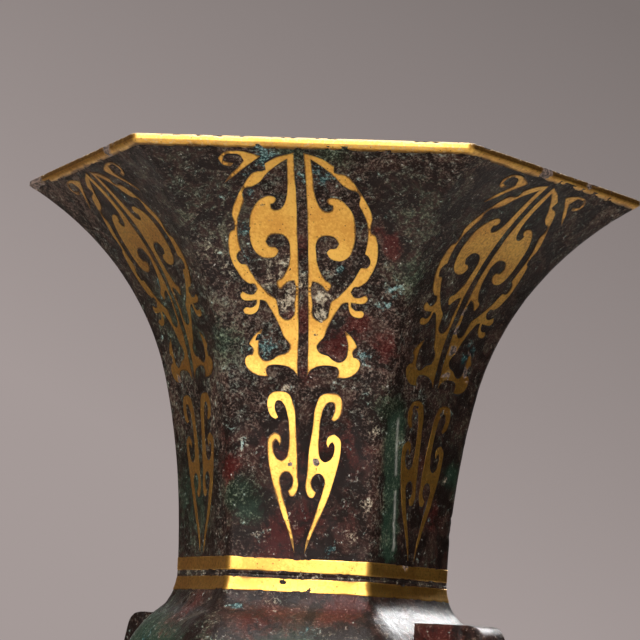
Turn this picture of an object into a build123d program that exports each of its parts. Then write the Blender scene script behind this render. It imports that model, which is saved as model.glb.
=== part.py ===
from build123d import *
import math
import os
from dataclasses import dataclass

# A six-sided bronze gu: a flared neck on a swelling bulb and a spreading foot, three castings
# that are let into each other at the gold bands, with two flanges and gold sheet ornament.
# Millimetres. +Z is up, the origin is the centre of the foot's underside, and the flanges lie
# along X. The sides face 0, 60, 120, 180, 240 and 300 degrees about Z and are numbered 1 to 6.

# Heights of the three castings, joint to joint
FOOT_HEIGHT = 93.0
BULB_HEIGHT = 60.0
NECK_HEIGHT = 102.0

# Distances from the axis to the middle of a flat side
RIM_APOTHEM = 70.4
JOINT_APOTHEM = 30.6
BULB_APOTHEM = 45.0
FOOT_APOTHEM = 49.0

# Where the slow curve next to a joint passes into the flare, and the upright edge at the end
NECK_EASE_HEIGHT = 50.0
NECK_EASE = 5.2
LIP_HEIGHT = 1.4
FOOT_EASE_HEIGHT = 50.0
FOOT_EASE = 3.3
PLINTH_HEIGHT = 7.0
BULB_HOLLOW = 12.0

# How far the six upright corners are rubbed down
CORNER_CUT = 0.6
BULB_CORNER_CUT = 3.0

# Walls, floor and the spigots that join the castings
WALL = 3.4
FLOOR = 4.0
SPIGOT_WALL = 1.6
SPIGOT_LENGTH = 6.0
FIT = 0.1

# Gold strips and bands, let in flush with the bronze
GOLD = 0.5
RIM_SKIRT = 1.2
BAND_HEIGHT = 3.5
BAND_SPACE = 1.4
FOOT_STRIP_HEIGHT = 3.5

# Gold sheet of the ornament and the bedding behind it, the neck height that its outlines are drawn
# for, the turn in degrees that one straight snip of a round stretch takes, and the flats in which
# the sheet is bent on the flare
SHEET = 0.35
BEDDING = 0.12
DRAWN_NECK = 102.0
SNIP_TURN = 56.0
FLAT_LENGTH = 9.0

# Flanges on two opposite sides of the bulb
FLANGE_THICKNESS = 11.0
FLANGE_HEIGHT = 40.0
FLANGE_REACH = 58.8
FLANGE_BOW = 3.3
FLANGE_ROUND = 3.0
FLANGE_GROOVE = 1.2
FLANGE_GROOVE_DEPTH = 0.5
FLANGE_GROOVE_INSET = 5.0
TENON_THICKNESS = 5.0
TENON_HEIGHT = 14.0
TENON_DEPTH = 2.4

# Worked-out levels and sizes
SIDES = 6
TURN = 360 / SIDES
BULB_FOOT = FOOT_HEIGHT
BULB_MIDDLE = FOOT_HEIGHT + BULB_HEIGHT / 2
BULB_TOP = FOOT_HEIGHT + BULB_HEIGHT
RIM_TOP = BULB_TOP + NECK_HEIGHT
CAVITY_APOTHEM = JOINT_APOTHEM - WALL
SPIGOT_APOTHEM = CAVITY_APOTHEM + SPIGOT_WALL
DRAWING_SCALE = NECK_HEIGHT / DRAWN_NECK
REACH = 2 * max(RIM_APOTHEM, BULB_APOTHEM, FOOT_APOTHEM)
PAST = 1.0

# Ornament outlines, right-hand pieces: distance from the side's middle line and drop below the
# rim. Two numbers are a straight line to that point, four an arc to it through the last two.
LEAF = (
    (1.2, 3.4),
    (8.3, 6.1, 5.0, 4.4),
    (8.1, 6.9),
    (10.8, 7.4),
    (17.1, 16.4, 14.6, 11.2),
    (16.6, 18.8),
    (17.6, 19.7),
    (13.4, 31.4, 17.5, 26.2),
    (12.7, 34.0, 11.6, 32.7),
    (15.4, 33.4),
    (15.5, 34.7),
    (11.8, 35.3),
    (13.2, 37.1, 12.1, 36.4),
    (14.9, 37.3),
    (14.4, 38.5),
    (10.9, 35.3, 11.9, 37.9),
    (9.6, 35.4),
    (4.4, 44.2, 6.7, 39.6),
    (4.5, 47.8, 3.2, 46.1),
    (8.4, 49.6),
    (10.9, 47.2, 10.3, 49.1),
    (10.3, 42.3),
    (13.4, 46.2, 12.1, 43.9),
    (13.8, 48.8, 12.2, 47.6),
    (8.6, 53.4, 12.9, 52.2),
    (8.6, 50.9),
    (1.2, 52.9, 4.6, 50.6),
)
LEAF_OPENING = (
    (3.0, 4.9),
    (10.4, 10.0, 6.8, 7.1),
    (13.8, 11.0),
    (13.8, 12.7),
    (15.8, 17.6),
    (15.3, 24.2, 15.9, 20.8),
    (16.3, 25.6),
    (13.8, 27.5, 15.6, 27.1),
    (6.6, 35.4, 11.0, 31.6),
    (2.2, 38.4, 4.4, 39.8),
    (2.1, 31.0),
    (5.6, 32.8),
    (6.8, 30.8),
    (3.0, 24.0, 4.1, 28.8),
    (6.0, 20.1, 3.9, 20.9),
    (7.4, 23.0, 8.7, 21.6),
    (5.8, 24.0),
    (12.9, 19.5, 10.8, 24.9),
    (7.3, 12.0, 11.6, 14.3),
    (6.0, 13.1),
    (7.5, 13.7),
    (3.5, 12.3, 5.6, 15.0),
)
CURL = (
    (9.3, 4.2),
    (15.5, 3.3),
    (19.5, 4.8, 18.2, 3.7),
    (16.4, 6.3, 18.4, 6.1),
    (15.9, 5.7),
    (18.3, 5.0, 17.5, 5.5),
    (13.6, 5.0, 15.8, 3.9),
    (18.4, 9.7),
)
DROP = (
    (1.3, 96.7),
    (4.2, 84.5),
    (5.4, 78.3),
    (2.3, 78.4, 3.9, 76.8),
    (2.3, 80.2),
    (3.4, 81.3),
    (1.0, 81.0, 2.3, 82.9),
    (2.9, 59.8),
    (9.3, 60.4, 6.2, 56.8),
    (6.8, 63.8, 8.6, 62.8),
    (7.5, 60.3),
    (5.2, 60.2, 6.5, 59.2),
    (3.8, 68.0, 4.2, 63.9),
    (3.9, 72.2),
    (7.5, 71.0, 5.4, 74.0),
    (7.1, 69.0),
    (6.0, 70.3),
    (9.1, 69.0, 7.2, 67.0),
    (7.7, 77.5),
)

# Sides that have flanges, and the curl that the vessel has lost
FLANGED_SIDES = (1, 4)
LOST_CURL = "side6_curl_right"


def corner(apothem, cut=CORNER_CUT):
    """Distance from the axis to a corner that is rubbed down by a cut."""
    return apothem / math.cos(math.pi / SIDES) - cut


def on_side(side):
    """Turn that carries a piece made on side 1 to another side."""
    return Rot(0, 0, TURN * (side - 1))


def moved(edge, outward):
    """Line or arc of a profile moved square to itself, outwards where the profile climbs."""
    points = []
    for place in (0, 0.5, 1):
        along = edge % place
        points.append(edge @ place + Vector(along.Y, -along.X) * outward)
    if edge.geom_type == GeomType.LINE:
        return Line(points[0], points[2])
    return ThreePointArc(*points)


def six_sided(profile):
    """Solid whose six sides all follow one profile: three crossed slabs with that edge."""
    bottom = profile[0] @ 0
    top = profile[-1] @ 1
    edges = [*profile, *(mirror(edge, about=Plane.YZ) for edge in profile)]
    edges.append(Line((-bottom.X, bottom.Y), bottom))
    edges.append(Line((-top.X, top.Y), top))
    slab = extrude(Plane.XZ * make_face(edges), REACH, both=True)
    return slab & Rot(0, 0, TURN) * slab & Rot(0, 0, 2 * TURN) * slab


def softened(sides, corners, inset=0.0):
    """Six-sided solid with narrow facets on its corners, both drawn in by an inset."""
    wide, narrow = ([Pos(-inset, 0) * edge for edge in profile] for profile in (sides, corners))
    return six_sided(wide) & Rot(0, 0, TURN / 2) * six_sided(narrow)


def hex_prism(apothem, low, high):
    """Upright six-sided prism between two levels."""
    plan = RegularPolygon(apothem, SIDES, major_radius=False, rotation=TURN / 2)
    return Pos(0, 0, low) * extrude(plan, high - low)


@dataclass(frozen=True)
class Horn:
    """Casting that flares from its joint, at level 0, to an upright edge at its far end."""

    height: float
    edge: float
    end: float
    ease_height: float
    ease: float

    def flare(self, joint, eased, end):
        """The slow arc from the joint, upright at its start, and the arc on to the edge."""
        slow = TangentArc((joint, 0), (eased, self.ease_height), tangent=(0, 1))
        return [slow, TangentArc(slow @ 1, (end, self.height - self.edge), tangent=slow % 1)]

    def side(self):
        """Flare of a flat side."""
        return self.flare(JOINT_APOTHEM, JOINT_APOTHEM + self.ease, self.end)

    def body(self, inset=0.0):
        """The outer form, or that form drawn in by an inset, without its cavity."""
        profiles = []
        corners = [corner(size) for size in (JOINT_APOTHEM, JOINT_APOTHEM + self.ease, self.end)]
        for flare in (self.side(), self.flare(*corners)):
            foot = flare[-1] @ 1
            profiles.append([*flare, Line(foot, (foot.X, self.height))])
        return softened(*profiles, inset)

    def cavity(self):
        """The hollow, one wall inside the flare and the upright edge, open at both ends."""
        slow, fast = (moved(arc, -WALL) for arc in self.side())
        start, stop = slow @ 0, fast @ 1
        mouth = stop + (fast % 1) * 2 * (self.edge + WALL)
        hollow = six_sided([Line((start.X, -PAST), start), slow, fast, Line(stop, mouth)])
        return hollow & hex_prism(self.end - WALL, -PAST, self.height + PAST)


NECK = Horn(NECK_HEIGHT, LIP_HEIGHT, RIM_APOTHEM, NECK_EASE_HEIGHT, NECK_EASE)
FOOT = Horn(FOOT_HEIGHT, PLINTH_HEIGHT, FOOT_APOTHEM, FOOT_EASE_HEIGHT, FOOT_EASE)
NECK_PLACE = Pos(0, 0, BULB_TOP)
FOOT_PLACE = Pos(0, 0, BULB_FOOT) * Rot(180, 0, 0)


def swelling(joint, middle):
    """The bulb's profile from its lower to its upper joint: a hollow, the swell and a hollow."""
    wider, half = middle - joint, BULB_HEIGHT / 2
    turn = 2 * math.atan2(wider, half)
    x = joint + BULB_HOLLOW * (1 - math.cos(turn))
    rise = BULB_HOLLOW * math.sin(turn)
    lower = TangentArc((joint, BULB_FOOT), (x, BULB_FOOT + rise), tangent=(0, 1))
    swell = TangentArc(lower @ 1, (x, BULB_TOP - rise), tangent=lower % 1)
    return [lower, swell, TangentArc(swell @ 1, (joint, BULB_TOP), tangent=swell % 1)]


def bulb_body(inset=0.0):
    """The bulb's outer form, or that form drawn in by an inset, without its cavity."""
    corners = swelling(corner(JOINT_APOTHEM), corner(BULB_APOTHEM, BULB_CORNER_CUT))
    return softened(swelling(JOINT_APOTHEM, BULB_APOTHEM), corners, inset)


def bulb_cavity():
    """The bulb's hollow above its floor, one wall inside its sides."""
    hollow = six_sided([moved(arc, -WALL) for arc in swelling(JOINT_APOTHEM, BULB_APOTHEM)])
    return hollow & hex_prism(REACH, BULB_FOOT + FLOOR, BULB_TOP)


def spigot(joint):
    """Six-sided sleeve that stands down from a joint."""
    outside, inside = (
        hex_prism(apothem, joint - SPIGOT_LENGTH, joint)
        for apothem in (SPIGOT_APOTHEM, CAVITY_APOTHEM)
    )
    return outside - inside


def socket(joint):
    """Room for a spigot below a joint, with its clearance."""
    return hex_prism(SPIGOT_APOTHEM + FIT, joint - SPIGOT_LENGTH - FIT, joint)


def flange():
    """Upright rib on side 1 with a bowed outer edge and a groove down each face."""
    half = FLANGE_HEIGHT / 2
    end = FLANGE_REACH - FLANGE_BOW
    bow = ThreePointArc((end, -half), (FLANGE_REACH, 0), (end, half))
    back = Polyline((end, half), (CAVITY_APOTHEM, half), (CAVITY_APOTHEM, -half), (end, -half))
    outline = make_face([bow, back])
    outline = fillet(outline.vertices().group_by(Axis.X)[-1], FLANGE_ROUND)
    rib = extrude(Plane.XZ * outline, FLANGE_THICKNESS / 2, both=True)
    groove = Box(FLANGE_GROOVE, 2 * FLANGE_GROOVE_DEPTH, FLANGE_HEIGHT)
    for face in (-FLANGE_THICKNESS / 2, FLANGE_THICKNESS / 2):
        rib -= Pos(end - FLANGE_GROOVE_INSET, face, 0) * groove
    return Pos(0, 0, BULB_MIDDLE) * rib


def tenon(room=0.0):
    """Block that keys a flange into side 1 of the bulb, or its mortise with room round it."""
    inner = BULB_APOTHEM - TENON_DEPTH - room
    outer = (BULB_APOTHEM + FLANGE_REACH) / 2
    block = Box(outer - inner, TENON_THICKNESS + 2 * room, TENON_HEIGHT + 2 * room)
    return Pos((inner + outer) / 2, 0, BULB_MIDDLE) * block


def gold_rings(neck, bulb, foot):
    """Flush rings: the skins between the castings' outer forms and their insets."""
    near = BAND_SPACE / 2
    far = near + BAND_HEIGHT
    strip = (PLINTH_HEIGHT - FOOT_STRIP_HEIGHT) / 2
    skins = {
        "neck": neck - NECK_PLACE * NECK.body(GOLD),
        "bulb": bulb - bulb_body(GOLD),
        "foot": foot - FOOT_PLACE * FOOT.body(GOLD),
    }
    levels = {
        "rim_strip": ("neck", RIM_TOP - LIP_HEIGHT - RIM_SKIRT, RIM_TOP),
        "neck_band_upper": ("neck", BULB_TOP + near, BULB_TOP + far),
        "neck_band_lower": ("bulb", BULB_TOP - far, BULB_TOP - near),
        "foot_band_upper": ("bulb", BULB_FOOT + near, BULB_FOOT + far),
        "foot_band_lower": ("foot", BULB_FOOT - far, BULB_FOOT - near),
        "foot_strip": ("foot", strip, strip + FOOT_STRIP_HEIGHT),
    }
    return {
        name: skins[casting] & hex_prism(REACH, low, high)
        for name, (casting, low, high) in levels.items()
    }


def vessel():
    """The three castings, the gold rings let into them and the flanges keyed to the bulb."""
    neck_body = NECK_PLACE * NECK.body()
    foot_body = FOOT_PLACE * FOOT.body()
    body = bulb_body()
    gold = gold_rings(neck_body, body, foot_body)

    neck = neck_body - NECK_PLACE * NECK.cavity() + spigot(BULB_TOP)
    neck -= gold["rim_strip"] + gold["neck_band_upper"]
    foot = foot_body - FOOT_PLACE * FOOT.cavity() - socket(BULB_FOOT)
    foot -= gold["foot_band_lower"] + gold["foot_strip"]
    bulb = body - bulb_cavity() - socket(BULB_TOP) + spigot(BULB_FOOT)
    bulb -= gold["neck_band_lower"] + gold["foot_band_upper"]

    rib = flange() - body + tenon()
    flanges = {}
    for side in FLANGED_SIDES:
        bulb -= on_side(side) * tenon(FIT)
        flanges[f"side{side}_flange"] = on_side(side) * rib
    return {"neck": neck, "bulb": bulb, "foot": foot} | flanges | gold


def drawn(outline, hand):
    """Face of an ornament outline cut in snips, hand 1 for the right piece and -1 for the left."""
    def place(u, drop):
        return Vector(hand * DRAWING_SCALE * u, RIM_TOP - DRAWING_SCALE * drop)

    points = []
    for last, step in zip((outline[-1], *outline), outline):
        if len(step) == 4:
            arc = ThreePointArc(place(*last[:2]), place(*step[2:]), place(*step[:2]))
            snips = math.ceil(math.degrees(arc.length / arc.radius) / SNIP_TURN)
            points += [arc @ (snip / snips) for snip in range(1, snips)]
        points.append(place(*step[:2]))
    return make_face(Polyline(*points, close=True))


def sheet_layer():
    """Gold sheet over all of side 1 of the neck, in flats that near the flare where they meet."""
    under, over = [], []
    for arc in NECK.side():
        flats = math.ceil(arc.length / FLAT_LENGTH)
        back, face = moved(arc, BEDDING), moved(arc, BEDDING + SHEET)
        under += [back @ (flat / flats) for flat in range(flats)]
        over += [face @ (flat / flats) for flat in range(flats)]
    section = make_face(Polyline(*under, back @ 1, face @ 1, *reversed(over), close=True))
    return NECK_PLACE * extrude(Plane.XZ * section, RIM_APOTHEM / 2, both=True)


def ornament():
    """Gold sheet on each side of the neck: two leaf halves, two curls and two drops."""
    layer = sheet_layer()
    pieces = {}
    for hand, word in ((-1, "left"), (1, "right")):
        outlines = {
            "leaf": drawn(LEAF, hand) - drawn(LEAF_OPENING, hand),
            "curl": drawn(CURL, hand),
            "drop": drawn(DROP, hand),
        }
        for name, outline in outlines.items():
            piece = extrude(Plane.YZ * outline, REACH) & layer
            for side in range(1, SIDES + 1):
                pieces[f"side{side}_{name}_{word}"] = on_side(side) * piece
    pieces.pop(LOST_CURL)
    return pieces


os.makedirs("parts", exist_ok=True)
for node, solid in (vessel() | ornament()).items():
    export_step(solid, f"parts/{node}.step")
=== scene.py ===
"""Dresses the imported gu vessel: patinated bronze castings, gold inlay and a plain studio."""

import math

import bpy
import numpy as np
from mathutils import Matrix, Vector
from mathutils.geometry import delaunay_2d_cdt


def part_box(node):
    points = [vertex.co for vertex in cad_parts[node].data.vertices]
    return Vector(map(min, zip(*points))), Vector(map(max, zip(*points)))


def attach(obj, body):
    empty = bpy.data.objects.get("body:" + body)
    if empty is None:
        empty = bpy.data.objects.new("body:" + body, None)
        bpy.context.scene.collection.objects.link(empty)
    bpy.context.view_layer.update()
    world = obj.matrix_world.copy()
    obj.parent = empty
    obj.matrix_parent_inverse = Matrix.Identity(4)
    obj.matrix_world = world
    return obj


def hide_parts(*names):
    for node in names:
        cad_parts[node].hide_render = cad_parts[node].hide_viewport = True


bl_info = {
    "name": "Bronze gu",
    "version": (1, 0, 0),
    "blender": (4, 5, 0),
    "location": "3D View > Sidebar > Gu",
    "description": "Builds a six-sided bronze gu with gold inlay on its packed frame",
    "category": "Object",
}

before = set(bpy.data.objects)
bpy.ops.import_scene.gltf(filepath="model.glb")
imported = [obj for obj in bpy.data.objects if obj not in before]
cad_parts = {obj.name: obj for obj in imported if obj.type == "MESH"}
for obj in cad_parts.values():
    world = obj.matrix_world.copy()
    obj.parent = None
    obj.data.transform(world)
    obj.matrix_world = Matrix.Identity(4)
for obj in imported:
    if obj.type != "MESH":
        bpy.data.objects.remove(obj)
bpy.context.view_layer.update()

# Units, and the hexagon with the steps in each of its rounded corners
MM = 0.001
SIDES = 6
ALL_SIDES = tuple(range(1, SIDES + 1))
TURN = 2 * math.pi / SIDES
HALF_TURN = TURN / 2
CORNER_STEPS = 6
BODY = "root"

# Levels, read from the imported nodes
RIM_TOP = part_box("rim_strip")[1].z
BULB_TOP = (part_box("neck_band_upper")[0].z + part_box("neck_band_lower")[1].z) / 2
BULB_FOOT = (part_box("foot_band_upper")[0].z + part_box("foot_band_lower")[1].z) / 2
BULB_MIDDLE = (BULB_TOP + BULB_FOOT) / 2

# Ornament outlines in millimetres, right-hand pieces: distance from the side's middle line and
# drop below the rim. A curve runs through the points and breaks where the outline turns sharply.
LEAF = (
    (1.2, 3.3), (2.5, 3.6), (4.0, 3.9), (5.5, 4.3), (7.0, 5.0), (8.2, 5.6), (8.1, 6.8), (9.0, 7.1),
    (10.5, 7.25), (11.5, 7.6), (12.5, 8.5), (14.3, 10.8), (16.0, 13.3), (16.8, 14.8), (17.1, 16.0),
    (16.7, 17.9), (16.6, 18.9), (16.8, 19.4), (17.6, 19.8), (18.2, 21.5), (18.3, 23.0),
    (17.8, 26.0), (16.5, 28.6), (15.2, 30.4), (14.2, 31.1), (13.5, 31.45), (12.4, 31.5),
    (11.5, 32.7), (12.3, 33.8), (13.1, 34.0), (14.8, 33.5), (15.3, 33.3), (15.75, 34.3),
    (15.4, 34.9), (13.0, 35.35), (11.6, 35.2), (11.6, 36.0), (12.7, 37.0), (14.5, 37.1),
    (14.9, 37.6), (14.5, 38.4), (13.5, 38.65), (11.6, 38.0), (10.9, 36.2), (10.8, 35.2),
    (9.8, 35.4), (8.2, 37.2), (6.7, 39.7), (5.6, 41.8), (4.9, 43.5), (3.6, 45.0), (3.2, 45.7),
    (3.8, 47.2), (5.3, 47.9), (6.0, 48.1), (7.5, 49.2), (9.2, 49.55), (10.4, 48.7), (10.9, 46.8),
    (10.9, 44.8), (10.3, 42.7), (10.1, 42.0), (11.6, 43.1), (12.9, 44.8), (13.3, 45.7),
    (12.2, 47.0), (12.4, 48.2), (13.6, 48.6), (14.2, 49.6), (13.8, 51.3), (12.4, 52.7),
    (10.3, 53.35), (8.5, 53.3), (8.95, 52.0), (8.5, 50.9), (7.0, 50.45), (5.0, 50.45), (3.0, 51.0),
    (1.7, 52.0), (1.1, 53.0),
)
LEAF_OPENING = (
    (2.8, 4.5), (5.0, 5.6), (8.0, 7.6), (10.0, 9.4), (11.8, 10.3), (13.7, 10.9), (14.2, 12.0),
    (13.9, 13.0), (14.8, 15.0), (15.6, 16.7), (15.9, 18.5), (15.8, 21.5), (15.2, 24.0),
    (16.0, 24.6), (16.4, 25.5), (15.5, 27.1), (14.1, 27.2), (13.3, 28.3), (12.2, 30.0),
    (10.2, 32.2), (8.3, 34.0), (6.7, 35.2), (6.2, 37.0), (5.8, 38.8), (4.4, 39.7), (3.5, 39.7),
    (2.4, 38.8), (2.2, 36.0), (2.0, 31.5), (2.3, 30.6), (3.5, 30.9), (5.0, 32.1), (5.5, 32.7),
    (6.0, 32.7), (6.7, 31.3), (6.5, 30.8), (5.5, 30.2), (4.2, 28.4), (3.4, 26.4), (3.1, 24.0),
    (3.1, 22.2), (4.1, 20.7), (6.0, 20.2), (7.9, 20.6), (8.9, 21.9), (8.2, 22.9), (6.5, 23.2),
    (5.8, 23.9), (6.5, 25.0), (8.0, 25.65), (9.0, 25.7), (11.0, 24.9), (12.4, 22.8), (13.0, 20.0),
    (13.0, 18.5), (12.4, 15.6), (11.0, 13.7), (9.0, 12.35), (7.5, 12.05), (6.3, 12.4), (6.0, 12.8),
    (6.6, 13.5), (7.5, 13.8), (7.3, 14.6), (6.2, 15.0), (4.8, 14.5), (3.7, 12.9), (3.2, 11.0),
    (3.0, 8.0),
)
CURL = (
    (9.3, 4.2), (12.0, 3.55), (15.5, 3.3), (18.3, 3.8), (19.5, 4.8), (18.6, 5.95), (17.6, 6.25),
    (16.5, 6.25), (15.9, 5.7), (17.0, 5.6), (18.4, 5.2), (18.0, 4.3), (16.0, 3.85), (14.0, 4.2),
    (13.3, 5.1), (14.5, 6.2), (16.5, 7.7), (18.4, 9.7), (16.5, 8.6), (14.0, 7.0), (11.2, 5.3),
)
DROP = (
    (6.25, 56.9), (8.35, 57.3), (9.35, 59.0), (9.35, 61.2), (8.45, 63.2), (7.35, 63.9),
    (6.65, 63.4), (7.15, 62.3), (7.55, 60.5), (6.85, 59.2), (6.15, 59.2), (5.05, 60.3),
    (4.15, 63.0), (3.75, 67.0), (3.75, 71.0), (4.35, 73.3), (5.35, 73.9), (6.55, 73.4),
    (7.55, 71.4), (7.45, 69.4), (7.05, 68.9), (6.35, 69.5), (6.05, 70.3), (5.65, 69.3),
    (6.15, 67.6), (7.55, 67.0), (8.95, 68.2), (9.15, 71.0), (8.55, 75.0), (7.55, 79.0),
    (6.35, 83.0), (4.85, 87.0), (3.15, 91.0), (1.75, 95.0), (1.25, 96.7), (1.65, 93.0),
    (2.75, 89.0), (3.95, 85.0), (5.05, 81.0), (5.45, 78.0), (4.45, 76.8), (3.75, 76.7),
    (2.55, 77.7), (2.25, 79.5), (2.95, 80.9), (3.45, 81.4), (2.65, 82.8), (2.05, 82.8),
    (1.05, 81.2), (1.05, 77.0), (1.45, 71.0), (2.05, 65.0), (2.75, 60.0), (4.05, 57.5),
)
MOTIFS = {"leaf": (LEAF, LEAF_OPENING), "curl": (CURL,), "drop": (DROP,)}
HANDS = {"left": -1, "right": 1}
LOST_CURL = "side6_curl_right"

# Patches of corrosion: side, distance from its middle line, drop below the rim and radius in
# millimetres, and strength
TEAL_PATCHES = (
    (6, -9.5, 2.6, 2.4, 1.0), (6, -8.4, 4.4, 2.2, 1.0), (6, -10.5, 5.6, 2.0, 0.9),
    (6, -13.8, 7.4, 1.8, 0.7), (6, -12.9, 11.6, 2.0, 0.8), (6, -15.2, 19.5, 1.9, 0.9),
    (6, -14.8, 25.5, 2.2, 0.6), (6, -0.6, 8.2, 1.9, 1.0), (6, 4.4, 8.2, 2.4, 1.0),
    (6, 3.0, 6.0, 1.4, 0.7), (6, 8.4, 27.6, 1.8, 0.8), (6, 22.3, 31.8, 3.0, 0.55),
    (6, 19.4, 35.4, 2.4, 0.5), (6, 14.6, 47.4, 2.0, 0.8), (6, -12.6, 46.0, 4.2, 0.5),
    (6, -9.0, 45.6, 3.0, 0.5), (6, -15.6, 70.5, 3.4, 0.4), (6, -9.4, 93.0, 2.0, 0.5),
    (6, 8.0, 95.0, 2.0, 0.5), (1, 11.0, 42.3, 2.2, 1.0), (1, 9.5, 45.5, 2.0, 0.8),
    (1, -6.0, 60.0, 3.0, 0.4), (5, -4.0, 30.0, 4.0, 0.5), (5, 6.0, 9.0, 3.0, 0.5),
    (6, -14.0, 110.0, 1.8, 0.9), (6, 4.0, 116.0, 3.0, 0.6), (5, -8.0, 120.0, 4.0, 0.7),
)
RED_PATCHES = (
    (6, 20.9, 20.6, 2.4, 1.3), (6, 21.2, 23.4, 2.4, 1.2), (6, 17.6, 18.6, 1.8, 0.8),
    (6, -1.2, 24.0, 4.0, 0.8), (6, -1.4, 39.5, 5.0, 1.0), (6, -0.6, 52.0, 4.0, 0.7),
    (6, 7.6, 44.8, 4.0, 1.3), (6, 12.6, 39.5, 3.2, 1.2), (6, 19.4, 46.0, 4.4, 1.1),
    (6, -5.0, 89.0, 5.0, 0.7), (6, -7.6, 95.0, 5.0, 0.8), (6, 2.0, 87.0, 4.0, 0.6),
    (6, 0.2, 74.0, 6.0, 0.5), (6, 9.5, 66.0, 8.0, 0.4), (6, -18.6, 76.0, 3.0, 0.7),
    (5, 16.5, 76.0, 4.0, 0.9), (5, 16.8, 68.0, 3.0, 0.7), (1, 8.0, 84.0, 5.0, 0.9),
    (1, 0.0, 72.0, 5.0, 0.6), (6, -10.0, 70.0, 7.0, 0.5), (6, 11.0, 74.0, 8.0, 0.5),
    (6, 12.0, 88.0, 6.0, 0.5), (6, 0.0, 96.0, 7.0, 0.5),
    (6, 12.0, 110.0, 8.0, 0.9), (6, -8.0, 114.0, 9.0, 0.9), (5, 4.0, 112.0, 9.0, 0.8),
    (6, 6.0, 126.0, 10.0, 0.8), (1, 4.0, 118.0, 10.0, 0.8), (1, 0.0, 124.0, 18.0, 0.8),
)
GREEN_PATCHES = (
    (6, 27.0, 12.0, 14.0, 0.15), (6, -28.0, 14.0, 14.0, 0.1), (6, -3.0, 3.0, 4.0, 0.8),
    (6, 7.0, 3.0, 5.0, 0.8), (6, 26.0, 30.0, 7.0, 0.4),
    (6, -16.2, 82.0, 4.5, 1.0), (6, -12.0, 86.0, 4.0, 0.7), (6, 19.5, 60.0, 4.0, 0.7),
    (1, -14.5, 60.0, 3.2, 1.4), (1, -13.6, 65.0, 3.4, 1.6), (1, -12.6, 70.0, 3.4, 1.6),
    (1, -11.8, 75.0, 3.2, 1.6), (1, -11.2, 80.0, 3.0, 1.5), (1, -10.8, 85.0, 3.0, 1.4),
    (1, -10.4, 90.0, 3.0, 1.4), (1, -9.8, 95.0, 3.0, 1.2), (1, 14.0, 74.0, 3.0, 0.9),
    (6, -20.0, 46.0, 5.0, 0.6), (6, -4.0, 122.0, 9.0, 0.6), (1, 6.0, 128.0, 12.0, 0.7),
    (5, 0.0, 124.0, 12.0, 0.7),
    (5, 0.0, 40.0, 16.0, 0.4), (5, -6.0, 80.0, 14.0, 0.5), (1, 0.0, 10.0, 14.0, 0.2),
)
CRUST_PATCHES = (
    (6, -8.8, 30.0, 4.5, 0.5), (6, -5.0, 26.0, 3.5, 0.5), (6, 6.0, 27.0, 3.5, 0.4),
    (6, -4.6, 35.6, 2.6, 1.0), (6, 3.8, 34.6, 2.4, 1.0), (6, 3.0, 38.6, 1.5, 1.6),
    (6, -1.0, 31.0, 2.0, 0.7), (6, 9.0, 33.0, 3.0, 0.4), (6, -19.4, 28.8, 2.0, 0.7),
    (6, -26.0, 24.0, 5.0, 0.4), (6, -18.6, 18.6, 0.9, 1.1), (6, -5.2, 56.4, 0.9, 1.3),
    (6, -4.0, 84.6, 2.0, 0.4), (6, -1.6, 88.4, 1.8, 0.7), (6, -9.4, 92.6, 3.0, 0.6),
    (6, -14.6, 70.0, 3.6, 0.5), (6, 12.6, 92.0, 2.2, 0.5), (6, 17.4, 65.5, 1.6, 0.8),
    (6, 16.2, 84.0, 2.0, 0.7), (1, 4.0, 52.0, 2.2, 0.6), (1, 6.0, 58.0, 2.0, 0.6),
    (1, 11.6, 75.0, 1.2, 1.1), (5, -14.7, 34.3, 1.2, 1.0), (5, 10.0, 60.0, 5.0, 0.4),
    (6, -6.0, 109.0, 2.0, 0.8), (6, 10.0, 118.0, 5.0, 0.4), (1, -4.0, 112.0, 5.0, 0.4),
)
# Smooth, waxed skin, in the same measures: the green corner, the upper sides and the bulb
WAXED_PATCHES = (
    (1, -13.4, 64.0, 4.0, 1.6), (1, -12.0, 72.0, 4.0, 1.6), (1, -11.0, 80.0, 4.0, 1.6),
    (1, -10.4, 88.0, 4.0, 1.6), (1, -10.0, 96.0, 4.0, 1.6),
    (6, -30.0, 8.0, 12.0, 1.2), (6, -24.0, 20.0, 7.0, 1.0), (6, 30.0, 14.0, 12.0, 0.9),
    (5, 16.0, 16.0, 20.0, 1.2), (5, -12.0, 26.0, 20.0, 1.0), (5, 8.0, 44.0, 14.0, 0.9),
    (1, 12.0, 18.0, 24.0, 1.2), (1, -18.0, 12.0, 14.0, 1.0), (1, 12.0, 46.0, 14.0, 1.1),
    (1, -8.0, 40.0, 12.0, 0.9), (1, 8.0, 72.0, 12.0, 0.7),
    *((side, 0.0, 127.0, 34.0, 0.8) for side in ALL_SIDES),
)
# Where the pale grains, partly painted sparkle, are sparse, in the same measures, or thick where the
# strength is below 0
SPARSE_PATCHES = (
    (6, 0.0, 68.0, 16.0, 0.7), (6, 0.0, 84.0, 14.0, 0.7), (6, 8.0, 96.0, 12.0, 0.6),
    (1, 4.0, 84.0, 20.0, 0.8), (6, -24.0, 26.0, 14.0, -0.5), (6, 25.0, 22.0, 12.0, -0.4),
    (5, 0.0, 30.0, 26.0, -0.6), (6, -20.0, 50.0, 8.0, -0.4), (1, -12.6, 68.0, 5.0, -1.6),
    (1, -11.2, 80.0, 5.0, -1.6), (1, -10.0, 92.0, 5.0, -1.4),
)
# Painted highlight lines on the green corner, pale lines where light would catch it: side and two ends,
# in the same measures, and their half width
PAINTED_HIGHLIGHT_LINES = (
    (1, (-13.3, 62.3), (-10.4, 75.5)), (1, (-9.6, 80.0), (-7.8, 94.0)),
)
PAINTED_HIGHLIGHT_WIDTH = 0.34
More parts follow.
